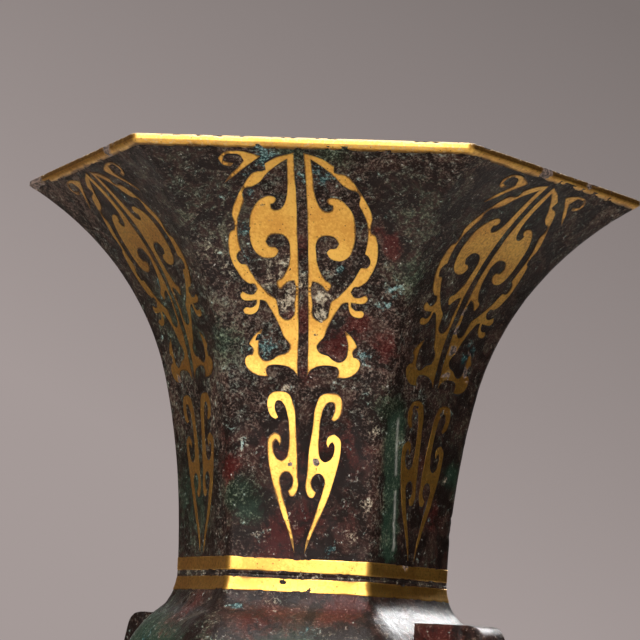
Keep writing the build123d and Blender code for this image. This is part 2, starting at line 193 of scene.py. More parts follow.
# Where the gold is lost under crust, in the same measures
LOSSES = (
    (5, -42.0, 1.0, 6.5, 1.3), (5, -34.0, 1.2, 5.0, 1.0), (5, 21.1, 1.4, 2.4, 1.3),
    (1, -6.5, 1.6, 3.0, 1.3), (1, 14.0, 1.0, 2.0, 0.8), (1, 1.3, 33.5, 1.5, 0.9),
    (1, 2.4, 37.9, 1.7, 0.9), (1, 2.9, 42.9, 1.9, 1.0), (1, 3.9, 49.2, 2.0, 0.9),
    (1, 10.7, 41.9, 2.0, 0.9), (1, 11.9, 48.2, 2.4, 0.9), (1, -2.8, 98.0, 1.6, 0.9),
    (6, 3.3, 74.0, 0.8, 1.1), (6, -3.4, 74.8, 0.6, 0.9), (5, -9.6, 53.0, 2.0, 0.8),
    (2, 10.0, 1.4, 3.0, 1.1), (3, -15.0, 1.5, 2.6, 1.2), (4, 5.0, 1.5, 3.0, 1.1),
    (4, 30.0, 1.2, 4.0, 1.0), (3, 6.0, 46.0, 2.2, 0.9), (2, -5.0, 70.0, 1.6, 0.9),
)
# How dirty and how dusty the gold is on each side: only one is rubbed clean
CLEAN_SIDE = 6
DIRT = {side: 0.0 if side == CLEAN_SIDE else 0.7 for side in ALL_SIDES}
FILM = {1: 0.15, 2: 0.2, 3: 0.2, 4: 0.2, 5: 0.3, CLEAN_SIDE: 0.0}
# How far right of the side's middle line a motif was laid, where that shows
LAID_OFF = {("leaf", 6): -0.9, ("curl", 6): -0.9}

# Patches strewn by chance: distances from a side's middle line in millimetres, and strengths
STREWN_PLACES = (-24, 24)
STREWN_STRENGTHS = (0.4, 0.9)


def scattered(seed, count, sides, drops, radii):
    """Patches strewn over sides between two drops below the rim, with radii between two sizes: places
    and strengths drawn evenly from a fixed seed."""
    draw = np.random.default_rng(seed)
    chosen = draw.choice(sides, count).tolist()
    spans = (STREWN_PLACES, drops, radii, STREWN_STRENGTHS)
    return tuple(zip(chosen, *(draw.uniform(*span, count).tolist() for span in spans)))


# The back of the neck, and the bulb and the foot all round, have patches strewn by chance
BACK = ((2, 3, 4), (2, 100))
BASE = (ALL_SIDES, (118, 248))
PATCHES = {
    "teal": TEAL_PATCHES + scattered(1, 16, *BACK, (2, 5)) + scattered(2, 24, *BASE, (2, 6)),
    "red": RED_PATCHES + scattered(3, 14, *BACK, (4, 11)) + scattered(4, 26, *BASE, (5, 13)),
    "green": GREEN_PATCHES + scattered(5, 14, *BACK, (6, 14)) + scattered(6, 22, *BASE, (5, 13)),
    "crust": CRUST_PATCHES + scattered(7, 14, *BACK, (1.5, 6)) + scattered(8, 22, *BASE, (2, 8)),
    "waxed": WAXED_PATCHES + scattered(9, 8, *BACK, (10, 20)),
    "sparse": SPARSE_PATCHES + scattered(10, 8, *BACK, (10, 20)) + scattered(11, 12, *BASE, (8, 18)),
}


def linear(code):
    """Linear red, green, blue and alpha of an sRGB hex code."""
    srgb = np.array([int(code[i:i + 2], 16) for i in (1, 3, 5)]) / 255
    low = srgb / 12.92
    high = ((srgb + 0.055) / 1.055) ** 2.4
    return (*np.where(srgb <= 0.04045, low, high).tolist(), 1.0)


def length(name, description, default):
    """Property that holds a length in metres."""
    return bpy.props.FloatProperty(
        name=name, description=description, default=default, unit="LENGTH", precision=5
    )


def degrees(name, description, default):
    """Property that holds an angle, its default given in degrees."""
    return bpy.props.FloatProperty(
        name=name, description=description, default=math.radians(default), subtype="ANGLE"
    )


def colour(name, description, code):
    """Property that holds a colour, its default given as an sRGB hex code."""
    return bpy.props.FloatVectorProperty(
        name=name, description=description, default=linear(code), size=4, subtype="COLOR",
        min=0, max=1,
    )


class GuForm(bpy.types.PropertyGroup):
    """Sizes of the three castings and the flanges."""

    rim: length("Rim", "Axis to the middle of a side at the rim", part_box("rim_strip")[1].x)
    bulb: length("Bulb", "Axis to the middle of a side of the bulb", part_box("bulb")[1].x)
    foot: length("Foot", "Axis to the middle of a side at the foot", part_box("foot")[1].x)
    joint: length("Joint", "Axis to the middle of a side at the joints", 30.6 * MM)
    neck_ease: length("Neck ease", "How far the slow curve of the neck opens", 5.2 * MM)
    neck_ease_height: length("Neck ease height", "Height of that slow curve", 50.0 * MM)
    lip: length("Lip", "Height of the upright lip", 1.4 * MM)
    foot_ease: length("Foot ease", "How far the slow curve of the foot opens", 3.3 * MM)
    foot_ease_height: length("Foot ease height", "Height of that slow curve", 50.0 * MM)
    plinth: length("Plinth", "Height of the upright edge of the foot", 7.0 * MM)
    bulb_hollow: length("Bulb hollow", "Radius of the hollows above and below the bulb", 12.0 * MM)
    wall: length("Wall", "Thickness of the castings", 3.4 * MM)
    floor: length("Floor", "Thickness of the floor in the bulb", 4.0 * MM)
    neck_corner: length("Neck corner", "Radius of the neck's corners", 3.6 * MM)
    rim_corner: length("Rim corner", "Radius of the corners at the rim", 2.4 * MM)
    joint_corner: length("Joint corner", "Radius of the corners at the joints", 2.4 * MM)
    bulb_corner: length("Bulb corner", "Radius of the bulb's corners at its middle", 17.0 * MM)
    flange_bow: length("Flange bow", "How far a flange's outer edge bows", 3.3 * MM)
    flange_round: length("Flange round", "Radius of a flange's outer corners", 3.0 * MM)


class GuGold(bpy.types.PropertyGroup):
    """Sizes of the gold sheet and strips."""

    sheet: length("Sheet", "Thickness of the gold sheet, most of it sunk", 0.6 * MM)
    proud: length("Proud", "How far the gold stands out of the bronze", 0.1 * MM)
    seam: length("Seam", "Width of the dark seam round a gold piece", 0.36 * MM)
    wander: length("Wander", "How far a hand-cut outline leaves its drawing", 0.3 * MM)
    skirt: length("Skirt", "Width of the rim strip on the flare", 1.3 * MM)
    wear: length("Wear", "How deep the edges of the strips are dented", 0.28 * MM)


class GuColours(bpy.types.PropertyGroup):
    """Colours of the finishes and the stage."""

    bronze: colour("Bronze", "Near-black brown of the bare patina", "#1A110E")
    # The pale grain colours, here and below, are partly the patina's own and partly painted sparkle of
    # light on the grainy skin
    grain: colour("Grain", "Pale grains in the bare patina", "#8E766A")
    umber: colour("Umber", "Warm brown zones of the bare patina", "#36211C")
    umber_grain: colour("Umber grain", "Pale grains in the brown zones", "#7C665B")
    sage: colour("Sage", "Grey-green grains in the bare patina", "#7E8E82")
    verdigris: colour("Verdigris", "Green-black of the smooth patina", "#141D14")
    green_grain: colour("Green grain", "Pale grains in the green patina", "#738067")
    jade: colour("Jade", "Green of the smooth, waxed patina", "#24362A")
    cuprite: colour("Cuprite", "Dark red under the crust", "#3C110E")
    red_grain: colour("Red grain", "Pale grains in the red patina", "#6E4038")
    teal: colour("Teal", "Blue-green copper salts", "#1C3C3E")
    teal_grain: colour("Teal grain", "Pale grains in the copper salts", "#9DBDB8")
    crust: colour("Crust", "Pale crust", "#CBBCA2")
    # Painted sparkle: white grains that stand in for light glinting off the skin
    painted_glint: colour("Glint", "White grains that catch the light", "#D8D2C9")
    gold: colour("Gold", "Hammered gold", "#EBB755")
    amber: colour("Amber", "Gold where it is rubbed thin", "#CF9038")
    tarnish: colour("Tarnish", "Brown tarnish and soil on the gold", "#54340F")
    dust: colour("Dust", "Pale dust where the rim is worn", "#DCC699")
    seam: colour("Seam", "Soil in the seams", "#120E0C")
    floor: colour("Floor", "Studio floor", "#C9C5C0")
    backdrop: colour("Backdrop", "Grey behind the vessel", "#A59A98")
    backdrop_dark: colour("Backdrop corner", "Grey at its darker corner", "#7B7371")
    ambient: colour("Ambient", "Dim grey light from all round", "#676563")
    right_card: colour("Right card", "Black card that darkens the right side", "#1E1A18")
    left_card: colour("Left card", "Brown card that darkens the left side", "#66564A")


class GuCamera(bpy.types.PropertyGroup):
    """Where the camera stands and looks."""

    azimuth: degrees("Azimuth", "Turn about the vessel, 0 looks along +Y", 36.194)
    distance: length("Distance", "From the vessel's axis", 673.63 * MM)
    height: length("Height", "Above the floor", RIM_TOP - 119.66 * MM)
    pitch: degrees("Pitch", "Upward tilt", 7.211)
    roll: degrees("Roll", "Turn about the line of sight", 2.953)
    pan: degrees("Pan", "Turn of the view to the left", 0.1)
    lens: bpy.props.FloatProperty(
        name="Lens", description="Focal length in millimetres", default=146.2, unit="CAMERA"
    )


# Noise and small array helpers


def blend(low, high, value):
    """0 below low, 1 above high and a smooth step between them."""
    part = np.clip((value - low) / (high - low), 0, 1)
    return part * part * (3 - 2 * part)


def cell_value(cell, seed):
    """A fixed number from 0 to 1 for each whole-number cell: its coordinates stirred together."""
    x, y, z = np.moveaxis(cell.astype(np.int64), -1, 0)
    stirred = (x * 374761393 + y * 668265263 + z * 1442695041 + seed * 974634541) & 0xFFFFFFFF
    stirred = ((stirred ^ (stirred >> 13)) * 1274126177) & 0xFFFFFFFF
    return (stirred ^ (stirred >> 16)) / 0xFFFFFFFF


def noise(points, size, seed=0, octaves=3):
    """Sum of smooth lattice noises, each half as wide and half as strong as the last, from 0 to 1."""
    total = 0.0
    weight = 1.0
    for octave in range(octaves):
        place = points * (2 ** octave / size)
        cell = np.floor(place)
        part = blend(0, 1, place - cell)
        value = 0.0
        for corner in np.ndindex(2, 2, 2):
            share = np.prod(np.where(corner, part, 1 - part), axis=-1)
            value = value + share * cell_value(cell + corner, seed + octave)
        total = total + weight * value
        weight *= 0.5
    return total / (2 - 2 * weight)


def tangent_arc(start, heading, end, steps):
    """Arc that leaves start along heading and ends at end, and its last heading. The chord to each
    point turns evenly and is as long as the sine of that turn."""
    start, heading, end = np.array(start), np.array(heading), np.array(end)
    chord = end - start
    turn = math.atan2(heading[0] * chord[1] - heading[1] * chord[0], heading @ chord)
    turns = np.linspace(0, turn, steps + 1)
    reach = np.hypot(*chord) * np.sin(turns) / math.sin(turn)
    side = np.array([-heading[1], heading[0]])
    points = start + reach[:, None] * (
        np.cos(turns)[:, None] * heading + np.sin(turns)[:, None] * side
    )
    return points, math.cos(2 * turn) * heading + math.sin(2 * turn) * side


def outward(profile):
    """Unit normals on the right of a profile's travel, from the differences of its points."""
    along = np.gradient(profile, axis=0)
    normal = np.stack([along[:, 1], -along[:, 0]], axis=1)
    return normal / np.maximum(np.linalg.norm(normal, axis=1, keepdims=True), 1e-12)


def hexagon_grid(profile, radius, flat_steps, corner_steps):
    """Points and facings of profile rows carried round a hexagon with rounded corners. Each side is
    the flat through its whole width and then its corner's arc: a core hexagon, smaller by the
    radius, plus that radius in the direction that the place faces."""
    flat = np.linspace(-1, 1, flat_steps + 1)
    bend = np.linspace(0, TURN, corner_steps + 2)[1:-1]
    along = np.tile(np.concatenate([flat, np.ones_like(bend)]), SIDES)
    turned = np.tile(np.concatenate([np.zeros_like(flat), bend]), SIDES)
    side = np.repeat(np.arange(SIDES) * TURN, len(flat) + len(bend))
    facing = side + turned
    radius = np.minimum(radius, profile[:, 0])[:, None]
    core = profile[:, :1] - radius
    half = core * math.tan(HALF_TURN) * along
    x = core * np.cos(side) - half * np.sin(side) + radius * np.cos(facing)
    y = core * np.sin(side) + half * np.cos(side) + radius * np.sin(facing)
    z = np.broadcast_to(profile[:, 1:], x.shape)
    normal = outward(profile)
    facings = np.stack([
        normal[:, :1] * np.cos(facing), normal[:, :1] * np.sin(facing),
        np.broadcast_to(normal[:, 1:], x.shape),
    ], axis=-1)
    return np.stack([x, y, z], axis=-1), facings


def grid_faces(rows, columns, closed):
    """Quads between neighbouring rows of a grid that wraps round its columns."""
    row = np.arange(rows if closed else rows - 1)[:, None]
    column = np.arange(columns)[None, :]
    after = (column + 1) % columns
    above = (row + 1) % rows
    corners = (row * columns + column, row * columns + after,
               above * columns + after, above * columns + column)
    return np.stack(corners, axis=-1).reshape(-1, 4)


def piece(name, points, polygons, material, node, attributes=None):
    """Object of a mesh in place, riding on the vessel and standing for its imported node."""
    mesh = bpy.data.meshes.new(name)
    mesh.vertices.add(len(points))
    mesh.vertices.foreach_set("co", np.ascontiguousarray(points, np.float32).ravel())
    corners = np.concatenate([np.asarray(group).ravel() for group in polygons])
    counts = np.concatenate([np.full(len(group), len(group[0])) for group in polygons])
    mesh.loops.add(len(corners))
    mesh.loops.foreach_set("vertex_index", corners.astype(np.int32))
    mesh.polygons.add(len(counts))
    starts = np.concatenate([[0], np.cumsum(counts)[:-1]])
    mesh.polygons.foreach_set("loop_start", starts.astype(np.int32))
    mesh.update(calc_edges=True)
    mesh.validate()
    mesh.shade_smooth()
    for label, values in (attributes or {}).items():
        layer = mesh.attributes.new(label, "FLOAT", "POINT")
        layer.data.foreach_set("value", np.ascontiguousarray(values, np.float32).ravel())
    mesh.materials.append(material)
    made = bpy.data.objects.new(name, mesh)
    bpy.context.scene.collection.objects.link(made)
    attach(made, BODY)
    if node:
        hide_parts(node)
    return made


# Forms shared by the pieces


def neck_side(form, steps):
    """The flare of the neck's flat sides, joint to lip: two arcs that run into each other."""
    joint = (form.joint, BULB_TOP)
    eased = (form.joint + form.neck_ease, BULB_TOP + form.neck_ease_height)
    slow, heading = tangent_arc(joint, (0.0, 1.0), eased, steps)
    fast, _ = tangent_arc(eased, heading, (rim_side(form), RIM_TOP - form.lip), steps)
    return np.concatenate([slow, fast[1:]])


def rim_side(form):
    """Apothem at the lip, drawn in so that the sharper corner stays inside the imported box."""
    spare = (1 / math.cos(HALF_TURN) - 1) * form.rim_corner
    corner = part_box("rim_strip")[1].y
    return min(form.rim, (corner + spare) * math.cos(HALF_TURN))


def foot_side(form, steps):
    """The flare of the foot's flat sides, plinth to joint: two arcs that run into each other."""
    joint = (form.joint, BULB_FOOT)
    eased = (form.joint + form.foot_ease, BULB_FOOT - form.foot_ease_height)
    slow, heading = tangent_arc(joint, (0.0, -1.0), eased, steps)
    fast, _ = tangent_arc(eased, heading, (form.foot, form.plinth), steps)
    return np.concatenate([slow, fast[1:]])[::-1]


def bulb_side(form, steps):
    """The bulb's flat sides from joint to joint: a hollow arc, the swell and a hollow arc."""
    half = BULB_TOP - BULB_MIDDLE
    turn = 2 * math.atan2(form.bulb - form.joint, half)
    x = form.joint + form.bulb_hollow * (1 - math.cos(turn))
    rise = form.bulb_hollow * math.sin(turn)
    low, heading = tangent_arc((form.joint, BULB_FOOT), (0.0, 1.0), (x, BULB_FOOT + rise), steps)
    swell, heading = tangent_arc(low[-1], heading, (x, BULB_TOP - rise), 2 * steps)
    high, _ = tangent_arc(swell[-1], heading, (form.joint, BULB_TOP), steps)
    return np.concatenate([low, swell[1:], high[1:]])


def inner_wall(side, wall):
    """A profile moved square to itself to the inside of the casting."""
    return side - wall * outward(side)


def cast_relief(points):
    """Height of the cast and corroded skin: soft lumps, fine grain and scattered pits."""
    lumps = noise(points, 14 * MM, 3) - 0.5
    grain = noise(points, 2.4 * MM, 7) - 0.5
    bare = blend(0.45, 0.6, noise(points, 24 * MM, 11))
    pits = blend(0.62, 0.78, noise(points, 2.2 * MM, 19, 2)) * bare
    return (0.16 * lumps + 0.08 * grain - 0.25 * pits) * MM


def whole_side(form):
    """The flat sides from the foot's plinth to the lip."""
    return np.concatenate([foot_side(form, 32), bulb_side(form, 16)[1:], neck_side(form, 64)[1:]])


def on_side(form, side, u, drop, lift):
    """Place on a side of the vessel: u along the side, drop below the rim and lift off the side,
    with the side's apothem and its normal read off at that height."""
    profile = whole_side(form)
    normal = outward(profile)
    z = RIM_TOP - drop
    apothem, across, up = (
        np.interp(z, profile[:, 1], values) for values in (profile[:, 0], *normal.T)
    )
    angle = TURN * (side - 1)
    reach = apothem + lift * across
    return np.stack([
        reach * math.cos(angle) - u * math.sin(angle),
        reach * math.sin(angle) + u * math.cos(angle),
        z + lift * up,
    ], axis=-1)


def patches(form, points, spots):
    """Sum of soft round patches, each a bell curve of the distance from its middle."""
    total = np.zeros(len(points))
    for side, u, drop, radius, strength in spots:
        middle = on_side(form, side, np.array(u * MM), np.array(drop * MM), 0.0)
        distance = np.linalg.norm(points - middle, axis=1) / (radius * MM)
        total += strength * np.exp(-distance ** 2)
    return total


def painted_highlight_lines(form, points):
    """A bell curve of the distance from the painted highlight lines, which are sampled finely."""
    samples = 60
    nearest = np.full(len(points), np.inf)
    for side, start, end in PAINTED_HIGHLIGHT_LINES:
        u, drop = np.linspace(start, end, samples).T * MM
        for place in on_side(form, side, u, drop, 0.0):
            nearest = np.minimum(nearest, np.linalg.norm(points - place, axis=1))
    return np.exp(-(nearest / (PAINTED_HIGHLIGHT_WIDTH * MM)) ** 2)


# Materials


def add(tree, kind, inputs=(), give=None, **settings):
    """Node with its settings, its inputs linked to sockets or set to values, and the output that it
    gives: the named one, or the first that its settings leave in use."""
    node = tree.nodes.new(kind)
    for name, value in settings.items():
        setattr(node, name, value)
    for key, value in dict(inputs).items():
        fitting = [socket for socket in node.inputs if socket.enabled and socket.name == key]
        socket = fitting[0] if fitting else node.inputs[key]
        if isinstance(value, bpy.types.NodeSocket):
            tree.links.new(value, socket)
        else:
            socket.default_value = value
    if give:
        return node.outputs[give]
    in_use = [output for output in node.outputs if output.enabled]
    return in_use[0] if in_use else None


def new_material(name):
    """Empty material, and the Object coordinates that its patterns read."""
    material = bpy.data.materials.new(name)
    material.use_nodes = True
    tree = material.node_tree
    tree.nodes.clear()
    return material, tree, add(tree, "ShaderNodeTexCoord", give="Object")


def per_mm(size):
    """Texture scale for a pattern whose features are that many millimetres wide."""
    return 1 / (size * MM)


def bronze_material(colours):
    """Cast bronze, buried and waxed: near-black skin full of fine pale grains, partly painted sparkle,
    which goes green or red in zones, with pale crust, blue-green salts, single painted white glints
    and painted highlight lines on the green corner."""
    material, tree, place = new_material("buried_cast_bronze")
    # Feature width in millimetres, octaves, roughness and distortion of each noise
    noises = {
        "zone": (24, 5, 0.6, 0.0), "blotch": (7, 6, 0.7, 0.8), "stain": (4.5, 4, 0.6, 0.4),
        "flake": (2.0, 5, 0.75, 0.6), "grain": (0.62, 3, 0.7, 0.0), "grit": (0.8, 1, 0.5, 0.0),
    }
    value = {
        name: add(tree, "ShaderNodeTexNoise", {
            "Vector": place, "Scale": per_mm(width), "Detail": octaves, "Roughness": rough,
            "Distortion": distortion})
        for name, (width, octaves, rough, distortion) in noises.items()
    }
    value["ragged"] = add(tree, "ShaderNodeMix", {
        "Factor": 0.5, "A": value["blotch"], "B": value["flake"]})
    # The painted patches push the noise that they belong to over its threshold
    carriers = {
        "green": ("ragged", 0.25), "red": ("ragged", 0.17), "teal": ("flake", 0.22),
        "crust": ("flake", 0.3), "waxed": ("zone", 0.3),
    }
    for patch, (carrier, weight) in carriers.items():
        painted = add(tree, "ShaderNodeAttribute", give="Fac", attribute_name=patch)
        value[patch] = add(tree, "ShaderNodeMath", {0: painted, 1: weight, 2: value[carrier]},
                           operation="MULTIPLY_ADD")
    # Painted glints: white grains where light would glint, where the flake noise helps the grit noise
    # over a threshold
    value["painted_glint"] = add(tree, "ShaderNodeMath", {0: value["flake"], 1: 0.8, 2: value["grit"]},
                         operation="MULTIPLY_ADD")
    # Thresholds: which noise, from where and to where, and how much shows at most
    thresholds = {
        "green": ("green", 0.5, 0.72, 0.85), "red": ("red", 0.56, 0.7, 0.9),
        "teal": ("teal", 0.6, 0.74, 0.9), "crust": ("crust", 0.58, 0.84, 1.0),
        "waxed": ("waxed", 0.5, 0.76, 1.0), "painted_glint": ("painted_glint", 1.16, 1.26, 0.5),
        "sage": ("stain", 0.44, 0.62, 0.7), "umber": ("blotch", 0.46, 0.6, 0.8),
    }
    shown = {
        name: add(tree, "ShaderNodeMapRange", {
            "Value": value[source], "From Min": low, "From Max": high, "To Max": most},
            interpolation_type="SMOOTHSTEP")
        for name, (source, low, high, most) in thresholds.items()
    }
    # Pale grains, partly the patina's own and partly painted sparkle, show where the fine noise, helped
    # by the coarser ones, passes a threshold
    rise = value["grain"]
    sparse = add(tree, "ShaderNodeAttribute", give="Fac", attribute_name="sparse")
    helpers = (
        (value["flake"], 0.7), (value["blotch"], 0.5), (shown["crust"], 0.14),
        (shown["waxed"], -0.08), (sparse, -0.09),
    )
    for helper, weight in helpers:
        rise = add(tree, "ShaderNodeMath", {0: helper, 1: weight, 2: rise}, operation="MULTIPLY_ADD")
    grains = add(tree, "ShaderNodeMapRange", {
        "Value": rise, "From Min": 1.03, "From Max": 1.45}, interpolation_type="SMOOTHSTEP")
    shown["jade"] = add(tree, "ShaderNodeMath", {0: shown["green"], 1: shown["waxed"]},
                        operation="MULTIPLY")
    skins = (tuple(colours.bronze), tuple(colours.grain))
    layers = (
        ("sage", (colours.bronze, colours.sage)),
        ("umber", (colours.umber, colours.umber_grain)),
        ("green", (colours.verdigris, colours.green_grain)),
        ("jade", (colours.jade, colours.green_grain)),
        ("red", (colours.cuprite, colours.red_grain)),
        ("crust", (colours.bronze, colours.crust)),
        ("teal", (colours.teal, colours.teal_grain)),
    )
    for name, tints in layers:
        skins = [
            add(tree, "ShaderNodeMix", {"Factor": shown[name], "A": skin, "B": tuple(tint)},
                data_type="RGBA")
            for skin, tint in zip(skins, tints)
        ]
    skin = add(tree, "ShaderNodeMix", {"Factor": grains, "A": skins[0], "B": skins[1]},
               data_type="RGBA")
    # Painted highlights: pale lines from the "rubbed" attribute on the green corner, and the painted
    # glints, are mixed into the skin's colour
    rubbed = add(tree, "ShaderNodeAttribute", give="Fac", attribute_name="rubbed")
    pale = add(tree, "ShaderNodeMath", {0: rubbed, 1: value["flake"], 2: shown["painted_glint"]},
               operation="MULTIPLY_ADD", use_clamp=True)
    skin = add(tree, "ShaderNodeMix", {
        "Factor": pale, "A": skin, "B": tuple(colours.painted_glint)}, data_type="RGBA")
    # Waxed skin is glossier than bare skin, and the salts and the crust are dull
    matt = add(tree, "ShaderNodeMath", {0: shown["teal"], 1: shown["crust"]}, operation="MAXIMUM")
    gloss = add(tree, "ShaderNodeMapRange", {
        "Value": shown["waxed"], "To Min": 0.48, "To Max": 0.36})
    roughness = add(tree, "ShaderNodeMix", {"Factor": matt, "A": gloss, "B": 0.8})
    sheen = add(tree, "ShaderNodeMapRange", {
        "Value": shown["waxed"], "To Min": 0.06, "To Max": 0.15})
    height = add(tree, "ShaderNodeMath", {0: value["grain"], 1: 0.35, 2: value["flake"]},
                 operation="MULTIPLY_ADD")
    bump = add(tree, "ShaderNodeBump", {
        "Strength": 0.7, "Distance": 0.3 * MM, "Height": height})
    shader = add(tree, "ShaderNodeBsdfPrincipled", {
        "Base Color": skin, "Roughness": roughness, "Specular IOR Level": sheen, "Normal": bump})
    add(tree, "ShaderNodeOutputMaterial", {"Surface": shader})
    return material


def gold_material(colours):
    """Gold sheet hammered into the bronze and rubbed down: a warm satin metal with fine scratches,
    amber where it is thin and brown at its edges, with soil in small pits, pale dust on the worn rim
    and crust where the sheet is lost."""
    material, tree, place = new_material("hammered_gold")
    brushed = add(tree, "ShaderNodeMapping", {
        "Vector": place, "Rotation": (0.3, 0.5, 0.9), "Scale": (1, 0.08, 1)})
    # Where each noise is read, its feature width in millimetres and its octaves
    noises = {
        "cloud": (place, 9, 5), "dent": (place, 2.2, 4), "speck": (place, 0.8, 3),
        "scratch": (brushed, 0.45, 2),
    }
    value = {
        name: add(tree, "ShaderNodeTexNoise", {
            "Vector": where, "Scale": per_mm(width), "Detail": octaves, "Roughness": 0.6})
        for name, (where, width, octaves) in noises.items()
    }
    value["pit"] = add(tree, "ShaderNodeTexVoronoi", {"Vector": place, "Scale": per_mm(1.4)})
    # What is painted on the pieces, how much it weighs and the noise that breaks it up
    painted = {
        "tarnish": ("edge", 0.5, "cloud"), "dust": ("wear", 0.3, "speck"),
        "lost": ("loss", 0.4, "dent"), "dirt": ("dirt", 0.3, "speck"),
    }
    for name, (attribute, weight, carrier) in painted.items():
        paint = add(tree, "ShaderNodeAttribute", give="Fac", attribute_name=attribute)
        value[name] = add(tree, "ShaderNodeMath", {0: paint, 1: weight, 2: value[carrier]},
                          operation="MULTIPLY_ADD")
    value["rubbed"] = value["cloud"]
    for name, weight in (("speck", 0.6), ("scratch", 0.5)):
        value["rubbed"] = add(tree, "ShaderNodeMath", {
            0: value[name], 1: weight, 2: value["rubbed"]}, operation="MULTIPLY_ADD")
    thresholds = {
        "thin": ("rubbed", 0.85, 1.25, 0.8), "open": ("cloud", 0.4, 0.5, 1.0),
        "soil": ("pit", 0.17, 0.07, 0.85), "tarnish": ("tarnish", 0.74, 1.02, 0.85),
        "dust": ("dust", 0.66, 0.9, 0.6), "lost": ("lost", 0.68, 0.78, 1.0),
        "fine": ("speck", 0.36, 0.64, 1.0), "dirt": ("dirt", 0.55, 1.3, 0.85),
    }
    shown = {
        name: add(tree, "ShaderNodeMapRange", {
            "Value": value[source], "From Min": low, "From Max": high, "To Max": most},
            interpolation_type="SMOOTHSTEP")
        for name, (source, low, high, most) in thresholds.items()
    }
    pitted = add(tree, "ShaderNodeMath", {0: shown["soil"], 1: shown["open"]}, operation="MULTIPLY")
    soiled = pitted
    for cover in (shown["tarnish"], shown["dirt"]):
        soiled = add(tree, "ShaderNodeMath", {0: soiled, 1: cover}, operation="MAXIMUM")
    crusted = add(tree, "ShaderNodeMix", {
        "Factor": shown["fine"], "A": tuple(colours.seam), "B": tuple(colours.grain)}, data_type="RGBA")
    covers = (
        (shown["thin"], tuple(colours.amber)), (soiled, tuple(colours.tarnish)),
        (shown["dust"], tuple(colours.dust)), (shown["lost"], crusted),
    )
    tint = tuple(colours.gold)
    for factor, cover in covers:
        tint = add(tree, "ShaderNodeMix", {"Factor": factor, "A": tint, "B": cover}, data_type="RGBA")
    bare = add(tree, "ShaderNodeMath", {0: shown["dust"], 1: shown["lost"]}, operation="MAXIMUM")
    metallic = add(tree, "ShaderNodeMath", {0: 1.0, 1: bare}, operation="SUBTRACT")
    dull = add(tree, "ShaderNodeMath", {0: value["speck"], 1: 0.6, 2: soiled},
               operation="MULTIPLY_ADD")
    satin = add(tree, "ShaderNodeMapRange", {
        "Value": dull, "From Min": 0.1, "From Max": 1.1, "To Min": 0.31, "To Max": 0.62})
    roughness = add(tree, "ShaderNodeMath", {0: satin, 1: bare}, operation="MAXIMUM")
    height = value["dent"]
    for name, weight in (("scratch", 0.3), ("speck", 0.3)):
        height = add(tree, "ShaderNodeMath", {0: value[name], 1: weight, 2: height},
                     operation="MULTIPLY_ADD")
    bump = add(tree, "ShaderNodeBump", {
        "Strength": 0.45, "Distance": 0.12 * MM, "Height": height})
    shader = add(tree, "ShaderNodeBsdfPrincipled", {
        "Base Color": tint, "Metallic": metallic, "Roughness": roughness, "Coat Weight": 0.4,
        "Coat Roughness": 0.35, "Normal": bump})
    add(tree, "ShaderNodeOutputMaterial", {"Surface": shader})
    return material


def seam_material(colours):
    """Soil and black corrosion packed into the cut seams: dull and nearly black."""
    material, tree, place = new_material("packed_soil")
    grit = add(tree, "ShaderNodeTexNoise", {"Vector": place, "Scale": per_mm(0.8), "Detail": 3})
    tint = add(tree, "ShaderNodeMix", {
        "Factor": grit, "A": tuple(colours.seam), "B": tuple(colours.bronze)}, data_type="RGBA")
    bump = add(tree, "ShaderNodeBump", {
        "Strength": 0.4, "Distance": 0.1 * MM, "Height": grit})
    shader = add(tree, "ShaderNodeBsdfPrincipled", {
        "Base Color": tint, "Roughness": 0.85, "Normal": bump})
    add(tree, "ShaderNodeOutputMaterial", {"Surface": shader})
    return material


def finish(name, make):
    """A material by name, made the first time that a piece asks for it."""
    return bpy.data.materials.get(name) or make(bpy.context.scene.gu_colours)


# Castings

# How much of the relief shows inside them
INNER_RELIEF = 0.5


def casting(name, profile, radius, relief, node, poles=(), flat_steps=64):
    """Bronze piece of a profile carried round the hexagon, with the corroded relief on the rows that
    show. A profile that is open ends in a pole at each given level, else its last row joins the
    first."""
    swelling, sinking = 0.3, 0.05
    form = bpy.context.scene.gu_form
    points, facings = hexagon_grid(profile, radius, flat_steps, CORNER_STEPS)
    rows, columns = points.shape[:2]
    points = points.reshape(-1, 3)
    attributes = {label: patches(form, points, spots) for label, spots in PATCHES.items()}
    # The "rubbed" attribute holds the painted highlight lines on the green corner
    attributes["rubbed"] = painted_highlight_lines(form, points)
    # Crust fills the groove between the neck bands. Clear of the bands, crust and salts swell.
    groove = np.abs(points[:, 2] - BULB_TOP) / MM
    attributes["crust"] += 0.5 * np.exp(-groove ** 2)
    swollen = np.clip(attributes["teal"] + attributes["crust"], 0, 1.2) * blend(5, 8, groove)
    lumpy = blend(0.45, 0.75, noise(points, 1.9 * MM, 23, 2))
    lumps = swollen * (lumpy * swelling - sinking) * MM
    depth = (cast_relief(points) + lumps) * np.repeat(relief, columns)
    points = points + depth[:, None] * facings.reshape(-1, 3)
    groups = [grid_faces(rows, columns, not poles)]
    if poles:
        column = np.arange(columns)
        after = (column + 1) % columns
        first, last = len(points), len(points) + 1
        top = (rows - 1) * columns
        groups.append(np.stack([np.full(columns, first), after, column], axis=1))
        groups.append(np.stack([np.full(columns, last), top + column, top + after], axis=1))
        points = np.concatenate([points, [(0, 0, poles[0]), (0, 0, poles[1])]])
        attributes = {label: np.append(values, [0, 0]) for label, values in attributes.items()}
    material = finish("buried_cast_bronze", bronze_material)
    return piece(name, points, groups, material, node, attributes)


